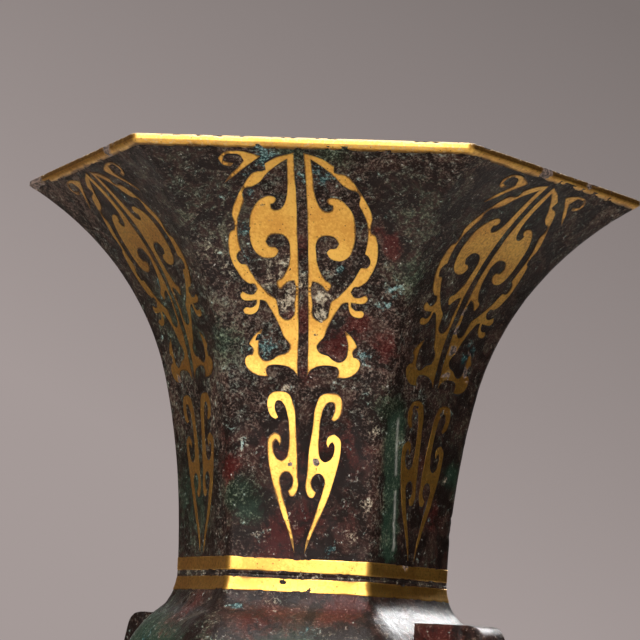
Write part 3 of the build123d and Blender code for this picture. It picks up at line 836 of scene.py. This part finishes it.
class GU_OT_castings(bpy.types.Operator):
    """Builds the neck, the bulb and the foot"""

    bl_idname = "gu.castings"
    bl_label = "Castings"

    def execute(self, context):
        form = context.scene.gu_form
        self.neck(form)
        self.bulb(form)
        self.foot(form)
        return {"FINISHED"}

    def neck(self, form):
        """Up the flare, over the lip and down one wall inside it. The corners open out from the joint
        to a level above it."""
        sunk, edge, clear = 0.3 * MM, 0.1 * MM, 1 * MM
        opened = BULB_TOP + 40 * MM
        side = neck_side(form, 84)
        inside = inner_wall(neck_side(form, 16), form.wall)
        lip_x = rim_side(form) - sunk
        top = RIM_TOP - edge
        lip = np.array([(lip_x, RIM_TOP - form.lip), (lip_x, top - edge), (lip_x - edge, top)])
        mouth = (np.interp(top, inside[:, 1], inside[:, 0]), top)
        inside = np.concatenate([inside[inside[:, 1] < top - clear], [mouth]])[::-1]
        profile = np.concatenate([side[:-1], lip, inside])
        show = np.concatenate([
            np.ones(len(side) - 1), np.zeros(len(lip)), np.full(len(inside), INNER_RELIEF)])
        radius = np.interp(profile[:, 1], [BULB_TOP, opened, RIM_TOP],
                           [form.joint_corner, form.neck_corner, form.rim_corner])
        casting("neck_casting", profile, radius, show, "neck", flat_steps=72)

    def bulb(self, form):
        """From under the floor out to the joint, over the swell and down inside to the floor."""
        clear, middle = 1 * MM, 4 * MM
        side = bulb_side(form, 20)
        inside = inner_wall(bulb_side(form, 6), form.wall)[::-1]
        floor = BULB_FOOT + form.floor
        inside = inside[inside[:, 1] > floor + clear]
        under = np.array([(middle, BULB_FOOT), (form.joint - clear, BULB_FOOT)])
        bed = np.array([(inside[-1, 0], floor), (middle, floor)])
        profile = np.concatenate([under, side, inside, bed])
        bulge = (profile[:, 0] - form.joint) / (form.bulb - form.joint)
        radius = form.joint_corner + (form.bulb_corner - form.joint_corner) * np.clip(bulge, 0, 1)
        show = np.concatenate([
            np.zeros(len(under)), np.ones(len(side)), np.full(len(inside) + len(bed), INNER_RELIEF)])
        casting("bulb_casting", profile, radius, show, "bulb", (BULB_FOOT, floor))

    def foot(self, form):
        """Up the plinth and the flare to the joint and down inside to the ring it stands on. The
        corners close in from a level below the joint."""
        edge, clear, opened = 0.4 * MM, 1 * MM, 40 * MM
        side = foot_side(form, 50)
        inside = inner_wall(foot_side(form, 16), form.wall)[::-1]
        inner_edge = form.foot - form.wall
        inside = inside[inside[:, 0] < inner_edge]
        plinth = np.array([(form.foot - edge, 0.0), (form.foot, edge)])
        level = np.linspace(clear, form.plinth - clear / 2, 6)
        upright = np.stack([np.full(len(level), form.foot), level], axis=1)
        ring = np.array([(inner_edge, inside[-1, 1] - clear), (inner_edge, 0.0)])
        profile = np.concatenate([plinth, upright, side, inside, ring])
        radius = np.interp(profile[:, 1], [opened, BULB_FOOT], [form.neck_corner, form.joint_corner])
        show = np.concatenate([
            np.zeros(len(plinth)), np.ones(len(upright) + len(side)),
            np.full(len(inside) + len(ring), INNER_RELIEF)])
        show[-1] = 0
        casting("foot_casting", profile, radius, show, "foot")


class GU_OT_flanges(bpy.types.Operator):
    """Builds the two upright flanges on the bulb"""

    bl_idname = "gu.flanges"
    bl_label = "Flanges"

    def execute(self, context):
        for side in (1, 4):
            self.flange(context.scene.gu_form, side)
        return {"FINISHED"}

    def rows(self, half_height):
        """Heights of the rows about the middle, and how far each is drawn in: upright, with a quarter
        round at both ends."""
        soft, steps = 0.7 * MM, 5
        swing = np.linspace(-math.pi / 2, math.pi / 2, 2 * steps + 1)
        ends = np.sign(swing) * (half_height - soft) + soft * np.sin(swing)
        inward = soft * (1 - np.cos(swing))
        upright = np.linspace(soft - half_height, half_height - soft, 50)
        level = np.concatenate([ends[:steps], upright, ends[steps + 1:]])
        return level, np.concatenate([inward[:steps], np.zeros(len(upright)), inward[steps + 1:]])

    def section(self, form, level, drawn_in):
        """Rows of a section: out along one face with its groove, round the two corners of the bowed
        outer edge and back along the other face. The groove is a bell curve."""
        sunk, corner = 1.5 * MM, 1.0 * MM
        groove_inset, groove_depth, groove_width = 5.0 * MM, 0.45 * MM, 0.55 * MM
        low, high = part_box("side1_flange")
        half_height = (high.z - low.z) / 2
        past = np.maximum(np.abs(level) - (half_height - form.flange_round), 0)
        rounding = form.flange_round - np.sqrt(np.maximum(form.flange_round ** 2 - past ** 2, 0))
        outer = high.x - form.flange_bow * (level / half_height) ** 2 - rounding - drawn_in
        bulb = bulb_side(form, 20)
        inner = np.interp(BULB_MIDDLE + level, bulb[:, 1], bulb[:, 0]) - sunk
        outer, inner = outer[:, None], inner[:, None]
        thick = ((high.y - low.y) / 2 - drawn_in)[:, None]
        arc = np.linspace(0, math.pi / 2, 6)[1:-1]
        front = np.linspace(-1, 1, 18)
        reach = inner + (outer - corner - inner) * np.linspace(0, 1, 46)
        groove = high.x - form.flange_bow - groove_inset
        dip = groove_depth * np.exp(-((reach - groove) / groove_width) ** 2)
        columns = (
            (reach, dip - thick),
            (outer - corner + corner * np.sin(arc), -thick + corner * (1 - np.cos(arc))),
            (outer * np.ones_like(front), (thick - corner) * front),
            (outer - corner + corner * np.cos(arc), thick - corner * (1 - np.sin(arc))),
            (reach[:, ::-1], (thick - dip)[:, ::-1]),
        )
        return (np.concatenate(stretch, axis=1) for stretch in zip(*columns))

    def flange(self, form, side):
        """A section carried up the rows on one side of the bulb, with the cast relief pushed away from
        the flange's foot."""
        low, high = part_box("side1_flange")
        level, drawn_in = self.rows((high.z - low.z) / 2)
        x, y = self.section(form, level, drawn_in)
        z = np.broadcast_to(BULB_MIDDLE + level[:, None], x.shape)
        angle = TURN * (side - 1)
        points = np.stack([x * math.cos(angle) - y * math.sin(angle),
                           x * math.sin(angle) + y * math.cos(angle), z], axis=-1)
        rows, columns = x.shape
        points = points.reshape(-1, 3)
        around = np.arange(columns)
        groups = [grid_faces(rows, columns, False), around[None, ::-1],
                  (rows - 1) * columns + around[None, :]]
        relief = cast_relief(points)
        middle = np.array([math.cos(angle) * form.bulb, math.sin(angle) * form.bulb, BULB_MIDDLE])
        away = points - middle
        points = points + relief[:, None] * away / np.linalg.norm(away, axis=1, keepdims=True)
        material = finish("buried_cast_bronze", bronze_material)
        marks = {label: patches(form, points, spots) for label, spots in PATCHES.items()}
        piece(f"flange_side{side}", points, groups, material, f"side{side}_flange", marks)


# Gold

# Rows over which a strip's face rounds off at each edge
EDGE_ROWS = 2


class GU_OT_rings(bpy.types.Operator):
    """Builds the rim strip, the four bands and the foot strip"""

    bl_idname = "gu.rings"
    bl_label = "Gold rings"

    def execute(self, context):
        form = context.scene.gu_form
        gold = context.scene.gu_gold
        neck = neck_side(form, 64)
        lip = [(rim_side(form), RIM_TOP)]
        foot = [(form.foot, 0.0)]
        casts = {
            "neck": np.concatenate([neck, lip]),
            "bulb": bulb_side(form, 20),
            "foot": np.concatenate([foot, foot_side(form, 50)]),
        }
        rings = {
            "neck_band_upper": "neck", "neck_band_lower": "bulb", "foot_band_upper": "bulb",
            "foot_band_lower": "foot", "foot_strip": "foot",
        }
        for node, cast in rings.items():
            low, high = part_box(node)
            self.ring(form, gold, node, casts[cast], low.z, high.z)
        self.rim(form, gold)
        return {"FINISHED"}

    def section(self, outer, gold):
        """Closed section of a strip: its rounded face outside and a plain back sunk in the bronze."""
        normal = outward(outer)
        ends = np.minimum(np.arange(len(outer)), np.arange(len(outer))[::-1])
        crown = gold.proud * np.minimum(ends / EDGE_ROWS, 1) ** 0.5
        face = outer + crown[:, None] * normal
        back = (outer - gold.sheet * normal)[::-1]
        return np.concatenate([face, back])

    def carried(self, form, gold, node, section, faces, corner, lip=0.0, flat_steps=96):
        """Ring of a section carried round the hexagon. Its face is hammered slightly uneven and its
        edges are dented, both only inwards. Rows of the lip are dusty on the clean side, dark with
        tarnish on the others, and worn along the top everywhere."""
        uneven = 0.09
        radius = np.full(len(section), corner)
        points, facings = hexagon_grid(section, radius, flat_steps, CORNER_STEPS)
        rows, columns = points.shape[:2]
        flat = points.reshape(-1, 3)
        hammered = (noise(flat, 6 * MM, 31) - 1) * uneven * MM
        dented = -gold.wear * blend(0.45, 0.8, noise(flat, 1.5 * MM, 37, 2))
        row = np.minimum(np.arange(rows), faces - 1 - np.arange(rows))
        inner = np.repeat(row >= EDGE_ROWS, columns)
        outer = np.repeat((row >= 0) & (row < EDGE_ROWS), columns)
        depth = hammered * inner + 0.25 * dented * outer
        lip = np.repeat(np.broadcast_to(lip, rows), columns)
        top = blend(0.6, 1.0, lip)
        clean = TURN * (CLEAN_SIDE - 1)
        facing = flat[:, 0] * math.cos(clean) + flat[:, 1] * math.sin(clean)
        rubbed = blend(0.855, 0.875, facing / np.hypot(flat[:, 0], flat[:, 1]))
        flat = flat + (depth + dented * top * inner)[:, None] * facings.reshape(-1, 3)
        marks = {
            "edge": np.repeat(np.where(row < 0, 1.0, np.exp(-row / 1.5)), columns),
            "wear": top * (0.75 + 0.25 * rubbed) + 0.55 * rubbed * (lip > 0),
            "dirt": np.where(lip > 0.3, 2.4, 0.5) * (1 - rubbed),
            "loss": patches(form, flat, LOSSES),
        }
        material = finish("hammered_gold", gold_material)
        piece(f"{node}_gold", flat, [grid_faces(rows, columns, True)], material, node, marks)

    def ring(self, form, gold, node, cast, low, high):
        """Band between two levels of a casting's side."""
        level = np.linspace(low, high, 13)
        outer = np.stack([np.interp(level, cast[:, 1], cast[:, 0]), level], axis=1)
        corner = form.neck_corner if node == "foot_strip" else form.joint_corner
        self.carried(form, gold, node, self.section(outer, gold), len(outer), corner)

    def rim(self, form, gold):
        """Strip on the end of the flare and up the lip, turned over the top edge."""
        edge, turned_over = 0.35 * MM, 0.9 * MM
        neck = neck_side(form, 200)
        skirt = neck[neck[:, 1] > RIM_TOP - form.lip - gold.skirt][::3]
        x = rim_side(form) - gold.proud
        level = np.linspace(RIM_TOP - form.lip, RIM_TOP - edge, 8)
        upright = np.stack([np.full(len(level), x), level], axis=1)
        turn = np.linspace(0, math.pi / 2, 5)[1:]
        over = np.stack([x - edge * (1 - np.cos(turn)),
                         RIM_TOP - gold.proud - edge * (1 - np.sin(turn))], axis=1)
        top = np.array([(x - turned_over, RIM_TOP - gold.proud)])
        outer = np.concatenate([skirt[:-1], upright, over, top])
        section = self.section(outer, gold)
        # How much a row belongs to the worn lip, by millimetres below the rim
        lip = np.interp(section[:, 1], RIM_TOP - np.array([1.5, 1.4, 0.1]) * MM, [0.1, 0.35, 1.0])
        self.carried(form, gold, "rim_strip", section, len(outer), form.rim_corner, lip, 160)


def smooth_outline(outline):
    """Samples on a curve through an outline's points, less than half a millimetre apart, with the
    heading at each point between its neighbours', or broken where the outline turns sharply."""
    spacing, sharp_turn = 0.42, math.radians(62)
    points = np.array(outline) * (1, -1)
    x, y = points.T
    if np.sum(x * np.roll(y, -1) - y * np.roll(x, -1)) < 0:
        points = points[::-1]
    after = np.roll(points, -1, axis=0) - points
    span = np.linalg.norm(after, axis=1, keepdims=True)
    ahead = after / span
    behind = np.roll(ahead, 1, axis=0)
    span_behind = np.roll(span, 1, axis=0)
    heading = ahead * span_behind + behind * span
    heading /= np.maximum(np.linalg.norm(heading, axis=1, keepdims=True), 1e-9)
    sharp = np.sum(ahead * behind, axis=1, keepdims=True) < math.cos(sharp_turn)
    leave = np.where(sharp, ahead, heading)
    arrive = np.roll(np.where(sharp, behind, heading), -1, axis=0)
    samples = []
    for index, stretch in enumerate(span[:, 0]):
        t = np.arange(0, 1, 1 / math.ceil(stretch / spacing))[:, None]
        start, end = points[index], points[(index + 1) % len(points)]
        samples.append(
            (2 * t ** 3 - 3 * t ** 2 + 1) * start + (3 * t ** 2 - 2 * t ** 3) * end
            + stretch * (t ** 3 - 2 * t ** 2 + t) * leave[index]
            + stretch * (t ** 3 - t ** 2) * arrive[index]
        )
    return np.concatenate(samples)


def grown(loop, width):
    """A counter-clockwise loop moved outwards by a width, square to its travel."""
    along = np.roll(loop, -1, axis=0) - np.roll(loop, 1, axis=0)
    along /= np.maximum(np.linalg.norm(along, axis=1, keepdims=True), 1e-9)
    return loop + width * np.stack([along[:, 1], -along[:, 0]], axis=1)


def within(places, loops):
    """Which places lie inside the loops: those whose ray to the right crosses them an odd number
    of times."""
    crossings = np.zeros(len(places), int)
    for loop in loops:
        start, end = loop, np.roll(loop, -1, axis=0)
        x, y = places[:, :1], places[:, 1:]
        spans = (start[:, 1] > y) != (end[:, 1] > y)
        rise = np.where(end[:, 1] == start[:, 1], 1e-12, end[:, 1] - start[:, 1])
        at = start[:, 0] + (y - start[:, 1]) * (end[:, 0] - start[:, 0]) / rise
        crossings += np.sum(spans & (at > x), axis=1)
    return crossings % 2 == 1


def edge_distance(places, loops):
    """Distance from each place to the nearest stretch of the loops."""
    nearest = np.full(len(places), np.inf)
    for loop in loops:
        along = np.roll(loop, -1, axis=0) - loop
        span = np.maximum(np.sum(along ** 2, axis=1), 1e-12)
        offset = places[:, None, :] - loop[None]
        part = np.clip(np.sum(offset * along, axis=2) / span, 0, 1)
        gap = np.linalg.norm(offset - part[..., None] * along, axis=2)
        nearest = np.minimum(nearest, gap.min(axis=1))
    return nearest


def filled(loops, spacing):
    """Flat triangles that fill the loops, with a grid of points between them, and each point's
    distance from the outline. Millimetres."""
    row_spacing, clear = 0.87 * spacing, 0.45 * spacing
    border = np.concatenate(loops)
    low, high = border.min(axis=0), border.max(axis=0)
    x, y = np.meshgrid(np.arange(low[0], high[0], spacing), np.arange(low[1], high[1], row_spacing))
    x = x + spacing / 2 * (np.arange(len(x)) % 2)[:, None]
    lattice = np.stack([x.ravel(), y.ravel()], axis=1)
    lattice = lattice[within(lattice, loops)]
    lattice = lattice[edge_distance(lattice, loops) > clear]
    edges = []
    start = 0
    for loop in loops:
        index = start + np.arange(len(loop))
        edges.append(np.stack([index, np.roll(index, -1)], axis=1))
        start += len(loop)
    coords = [Vector(place) for place in np.concatenate([border, lattice]).tolist()]
    made = delaunay_2d_cdt(coords, np.concatenate(edges).tolist(), [], 0, 1e-6)
    places = np.array([tuple(place) for place in made[0]])
    faces = np.array(made[2])
    faces = faces[within(places[faces].mean(axis=1), loops)]
    used, faces = np.unique(faces, return_inverse=True)
    places = places[used]
    return places, faces.reshape(-1, 3), edge_distance(places, loops)


def motif_loops(outlines, grow=0.0):
    """Smooth loops of a motif, the first outwards and any opening inwards by the growth."""
    loops = [smooth_outline(outline) for outline in outlines]
    return [grown(loop, grow if index == 0 else -grow) for index, loop in enumerate(loops)]


def hand_cut(form, gold, flat, motif, side, hand, lift, seed):
    """Points and faces of a flat motif on one side of the neck: mirrored for the left hand, wandering
    as hand-cut work does, and laid on the flare a little off the middle line."""
    places, faces, _ = flat
    laid = LAID_OFF.get((motif, side), 0.0)
    u = places[:, 0] * MM
    drop = -places[:, 1] * MM
    # Each piece reads the noise at a place of its own
    where = np.stack([u + 0.5 * seed, drop, np.full(len(u), 0.37 * seed)], axis=1)
    shift = gold.wander * (noise(where, 11 * MM, 41, 2) - 0.5) * 2
    slip = gold.wander * (noise(where, 13 * MM, 43, 2) - 0.5) * 2
    points = on_side(form, side, laid * MM + hand * (u + shift), drop + slip, lift)
    return points, faces if hand > 0 else faces[:, ::-1]


def ornament_nodes():
    """Name, motif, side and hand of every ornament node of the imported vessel."""
    for side in ALL_SIDES:
        for motif in MOTIFS:
            for word, hand in HANDS.items():
                node = f"side{side}_{motif}_{word}"
                if node != LOST_CURL:
                    yield node, motif, side, hand


def thickened(made, thickness):
    """Gives a surface its thickness, all of it inwards."""
    solid = made.modifiers.new("thickness", "SOLIDIFY")
    solid.thickness = thickness
    solid.offset = -1


class GU_OT_ornament(bpy.types.Operator):
    """Builds the gold leaves, curls and drops on the neck"""

    bl_idname = "gu.ornament"
    bl_label = "Gold ornament"

    def execute(self, context):
        form, gold = context.scene.gu_form, context.scene.gu_gold
        # Millimetres between the points, of a browned edge and of the hammered face's unevenness
        spacing, edge_width, uneven = 0.5, 0.35, 0.12
        flats = {name: filled(motif_loops(outlines), spacing) for name, outlines in MOTIFS.items()}
        for seed, (node, motif, side, hand) in enumerate(ornament_nodes()):
            places, _, distance = flats[motif]
            where = np.concatenate([places, np.full((len(places), 1), 3.1 * seed)], axis=1) * MM
            lift = gold.proud + (noise(where, 5 * MM, 53) - 0.5) * uneven * MM
            points, faces = hand_cut(form, gold, flats[motif], motif, side, hand, lift, seed)
            material = finish("hammered_gold", gold_material)
            marks = {
                "edge": np.exp(-distance / edge_width), "loss": patches(form, points, LOSSES),
                "dirt": np.full(len(points), DIRT[side]), "wear": np.full(len(points), FILM[side]),
            }
            made = piece(f"{node}_gold", points, [faces], material, node, marks)
            thickened(made, gold.sheet)
            bevel = made.modifiers.new("rubbed_edge", "BEVEL")
            bevel.width = 0.07 * MM
            bevel.segments = 2
            bevel.limit_method = "ANGLE"
            bevel.angle_limit = math.radians(50)
            bevel.harden_normals = True
        return {"FINISHED"}


class GU_OT_sinkings(bpy.types.Operator):
    """Builds the dark seams that show round the gold ornament"""

    bl_idname = "gu.sinkings"
    bl_label = "Sinkings"

    def execute(self, context):
        form, gold = context.scene.gu_form, context.scene.gu_gold
        width, spacing = gold.seam / MM, 1.2
        flats = {
            name: filled(motif_loops(outlines, width), spacing) for name, outlines in MOTIFS.items()
        }
        gathered = {side: [] for side in ALL_SIDES}
        for seed, (_, motif, side, hand) in enumerate(ornament_nodes()):
            # The edge of the seam dips under the skin, and the rest lies just over it
            lift = np.where(flats[motif][2] < 1e-6, -0.06, 0.02) * MM
            gathered[side].append(hand_cut(form, gold, flats[motif], motif, side, hand, lift, seed))
        material = finish("packed_soil", seam_material)
        for side, parts in gathered.items():
            starts = np.cumsum([0] + [len(points) for points, _ in parts])
            points = np.concatenate([points for points, _ in parts])
            faces = np.concatenate([faces + start for (_, faces), start in zip(parts, starts)])
            made = piece(f"sinkings_side{side}", points, [faces], material, None)
            thickened(made, gold.sheet)
        return {"FINISHED"}


# Stage


def softbox(name, azimuth, elevation, distance, size, power, target):
    """Area lamp in a direction from the target, facing it."""
    lamp = bpy.data.lights.new(name, "AREA")
    lamp.shape = "RECTANGLE"
    lamp.size, lamp.size_y = size
    lamp.energy = power
    made = bpy.data.objects.new(name, lamp)
    away = Vector((
        math.sin(azimuth) * math.cos(elevation), -math.cos(azimuth) * math.cos(elevation),
        math.sin(elevation),
    ))
    made.location = target + distance * away
    made.rotation_euler = away.to_track_quat("Z", "Y").to_euler()
    bpy.context.scene.collection.objects.link(made)
    return made


def stage_mesh(name, points, faces, material):
    """Object of a mesh that is no part of the vessel."""
    mesh = bpy.data.meshes.new(name)
    mesh.from_pydata(points.tolist(), [], faces)
    mesh.materials.append(material)
    made = bpy.data.objects.new(name, mesh)
    bpy.context.scene.collection.objects.link(made)
    return made


class GU_OT_stage(bpy.types.Operator):
    """Builds the floor, the backdrop, the lamps, the cards and the camera"""

    bl_idname = "gu.stage"
    bl_label = "Stage"

    def execute(self, context):
        scene = context.scene
        scene.view_settings.view_transform = "Standard"
        self.floor(scene.gu_colours)
        self.backdrop(scene)
        self.lamps(scene.gu_form, scene.gu_camera)
        self.flags(scene.gu_colours, scene.gu_camera)
        self.camera(scene)
        return {"FINISHED"}

    def floor(self, colours):
        """A round floor: rings of points about the axis."""
        reach, rings, spokes = 1.4, 23, 96
        radius = np.linspace(0.0, reach, rings + 1)[1:]
        turn = np.linspace(0, 2 * math.pi, spokes + 1)[:-1]
        x, y = radius[:, None] * np.cos(turn), radius[:, None] * np.sin(turn)
        points = np.stack([x, y, np.zeros_like(x)], axis=-1).reshape(-1, 3)
        faces = grid_faces(len(radius), len(turn), False)[:, ::-1]
        material, tree, place = new_material("studio_paper")
        tooth = add(tree, "ShaderNodeTexNoise", {"Vector": place, "Scale": per_mm(3), "Detail": 3})
        bump = add(tree, "ShaderNodeBump", {
            "Strength": 0.1, "Distance": 0.2 * MM, "Height": tooth})
        shader = add(tree, "ShaderNodeBsdfPrincipled", {
            "Base Color": tuple(colours.floor), "Roughness": 0.9, "Normal": bump})
        add(tree, "ShaderNodeOutputMaterial", {"Surface": shader})
        floor = stage_mesh("floor", points, faces.tolist() + [list(range(len(turn)))], material)

    def backdrop(self, scene):
        """World that shows a grey gradient to the camera and in reflections, and lights dimly."""
        world = bpy.data.worlds.new("studio")
        scene.world = world
        world.use_nodes = True
        tree = world.node_tree
        tree.nodes.clear()
        colours = scene.gu_colours
        way = add(tree, "ShaderNodeTexCoord", give="Generated")
        # Darker upwards and to the right of the camera's view
        heading = scene.gu_camera.azimuth
        fall = (0.5 * math.cos(heading), 0.5 * math.sin(heading), 1.0)
        across = add(tree, "ShaderNodeVectorMath", {0: way, 1: fall}, give="Value",
                     operation="DOT_PRODUCT")
        shade = add(tree, "ShaderNodeMapRange", {
            "Value": across, "From Min": 0.04, "From Max": 0.3})
        grey = add(tree, "ShaderNodeMix", {
            "Factor": shade, "A": tuple(colours.backdrop), "B": tuple(colours.backdrop_dark)},
            data_type="RGBA")
        path = add(tree, "ShaderNodeLightPath").node
        seen = path.outputs["Is Camera Ray"]
        for ray in ("Is Glossy Ray", "Is Transmission Ray"):
            seen = add(tree, "ShaderNodeMath", {0: seen, 1: path.outputs[ray]}, operation="MAXIMUM")
        ambient = add(tree, "ShaderNodeBackground", {"Color": tuple(colours.ambient)})
        shown = add(tree, "ShaderNodeBackground", {"Color": grey})
        both = add(tree, "ShaderNodeMixShader", {0: seen, 1: ambient, 2: shown})
        add(tree, "ShaderNodeOutputWorld", {"Surface": both})

    def lamps(self, form, camera):
        """A softbox in front and left, a low one before it near the floor, a gridded one that lights
        the floor from above, a small strip behind that only shows as a sheen on the shoulder, and a
        softbox for the back."""
        front = camera.azimuth
        before = 120 * MM
        neck = Vector((0, 0, BULB_TOP + 40 * MM))
        bulb = Vector((0, 0, BULB_MIDDLE))
        floor = Vector((before * math.sin(front), -before * math.cos(front), 0))
        shoulder = Vector((form.joint + 4 * MM, -4 * MM, BULB_TOP - 12 * MM))
        # Degrees round from the camera and up, distance and size in metres, watts and target
        places = {
            "key_softbox": (-18, 28, 1.15, (0.95, 0.95), 9.8, neck),
            "low_softbox": (-12, -10.4, 0.62, (0.7, 0.13), 0.385, neck),
            "floor_wash": (-10, 68, 1.1, (0.3, 0.3), 0.98, floor),
            "shoulder_strip": (147, 36, 1.1, (0.06, 0.06), 0.02, shoulder),
            "back_softbox": (180, 40, 1.2, (0.7, 0.5), 6.0, bulb),
        }
        lamps = {
            name: softbox(name, front + math.radians(turn), math.radians(rise), *rest)
            for name, (turn, rise, *rest) in places.items()
        }
        for name, spread in (("low_softbox", 100), ("floor_wash", 50), ("shoulder_strip", 6)):
            lamps[name].data.spread = math.radians(spread)
        lamps["low_softbox"].visible_camera = False
        lamps["shoulder_strip"].visible_diffuse = False

    def flags(self, colours, camera):
        """Dark cards on both sides, out of the camera's sight: upright grids on a part of a circle,
        which keep the side faces dark."""
        away, foot, top = 0.55, 0.002, 0.5
        level = np.linspace(foot, top, 6)
        # Name, card, its colour and the degrees round from the camera at which it starts and ends
        cards = (
            ("right", "black_card", colours.right_card, 60, 140),
            ("left", "brown_card", colours.left_card, -150, -70),
        )
        for name, card, shade, start, end in cards:
            material, tree, _ = new_material(card)
            shader = add(tree, "ShaderNodeBsdfPrincipled", {
                "Base Color": tuple(shade), "Roughness": 0.9})
            add(tree, "ShaderNodeOutputMaterial", {"Surface": shader})
            turn = camera.azimuth + np.radians(np.linspace(start, end, 17))
            x, y = away * np.sin(turn), -away * np.cos(turn)
            points = np.stack(np.broadcast_arrays(x, y, level[:, None]), axis=-1).reshape(-1, 3)
            index = np.arange(len(points)).reshape(len(level), len(turn))
            corners = (index[:-1, :-1], index[:-1, 1:], index[1:, 1:], index[1:, :-1])
            faces = np.stack(corners, axis=-1).reshape(-1, 4)
            flag = stage_mesh(f"{name}_flag", points, faces.tolist(), material)
            flag.visible_camera = False
            flag.visible_shadow = False
            flag.visible_diffuse = False

    def camera(self, scene):
        """Camera on its azimuth, panned, pitched and rolled as the view asks."""
        view = scene.gu_camera
        heading = view.azimuth + view.pan
        ahead = Vector((-math.sin(heading) * math.cos(view.pitch),
                        math.cos(heading) * math.cos(view.pitch), math.sin(view.pitch)))
        right = Vector((math.cos(heading), math.sin(heading), 0))
        up = right.cross(ahead)
        tilted = right * math.cos(view.roll) + up * math.sin(view.roll)
        upright = up * math.cos(view.roll) - right * math.sin(view.roll)
        matrix = Matrix((tilted, upright, -ahead)).transposed().to_4x4()
        matrix.translation = (view.distance * math.sin(view.azimuth),
                              -view.distance * math.cos(view.azimuth), view.height)
        data = bpy.data.cameras.new("camera")
        data.lens = view.lens
        data.sensor_width = 36
        data.clip_start = 0.01
        made = bpy.data.objects.new("camera", data)
        made.matrix_world = matrix
        scene.collection.objects.link(made)
        scene.camera = made


class GU_PT_panel(bpy.types.Panel):
    """Lists the steps that build the vessel"""

    bl_idname = "GU_PT_panel"
    bl_label = "Bronze gu"
    bl_space_type = "VIEW_3D"
    bl_region_type = "UI"
    bl_category = "Gu"

    def draw(self, context):
        for operator in OPERATORS:
            self.layout.operator(operator.bl_idname)
        for label, group in SETTINGS.items():
            box = self.layout.box()
            for name in group.__annotations__:
                box.prop(getattr(context.scene, label), name)


OPERATORS = (GU_OT_castings, GU_OT_flanges, GU_OT_rings, GU_OT_ornament, GU_OT_sinkings, GU_OT_stage)
SETTINGS = {"gu_form": GuForm, "gu_gold": GuGold, "gu_colours": GuColours, "gu_camera": GuCamera}


def register():
    """Registers the settings, the steps and the panel."""
    for label, group in SETTINGS.items():
        bpy.utils.register_class(group)
        setattr(bpy.types.Scene, label, bpy.props.PointerProperty(type=group))
    for entry in (*OPERATORS, GU_PT_panel):
        bpy.utils.register_class(entry)


def unregister():
    """Takes back what register added."""
    for entry in (GU_PT_panel, *reversed(OPERATORS)):
        bpy.utils.unregister_class(entry)
    for label, group in SETTINGS.items():
        delattr(bpy.types.Scene, label)
        bpy.utils.unregister_class(group)


def main():
    """Builds the vessel and its stage in order."""
    register()
    bpy.ops.gu.castings()
    bpy.ops.gu.flanges()
    bpy.ops.gu.rings()
    bpy.ops.gu.ornament()
    bpy.ops.gu.sinkings()
    bpy.ops.gu.stage()


if __name__ == "__main__":
    main()
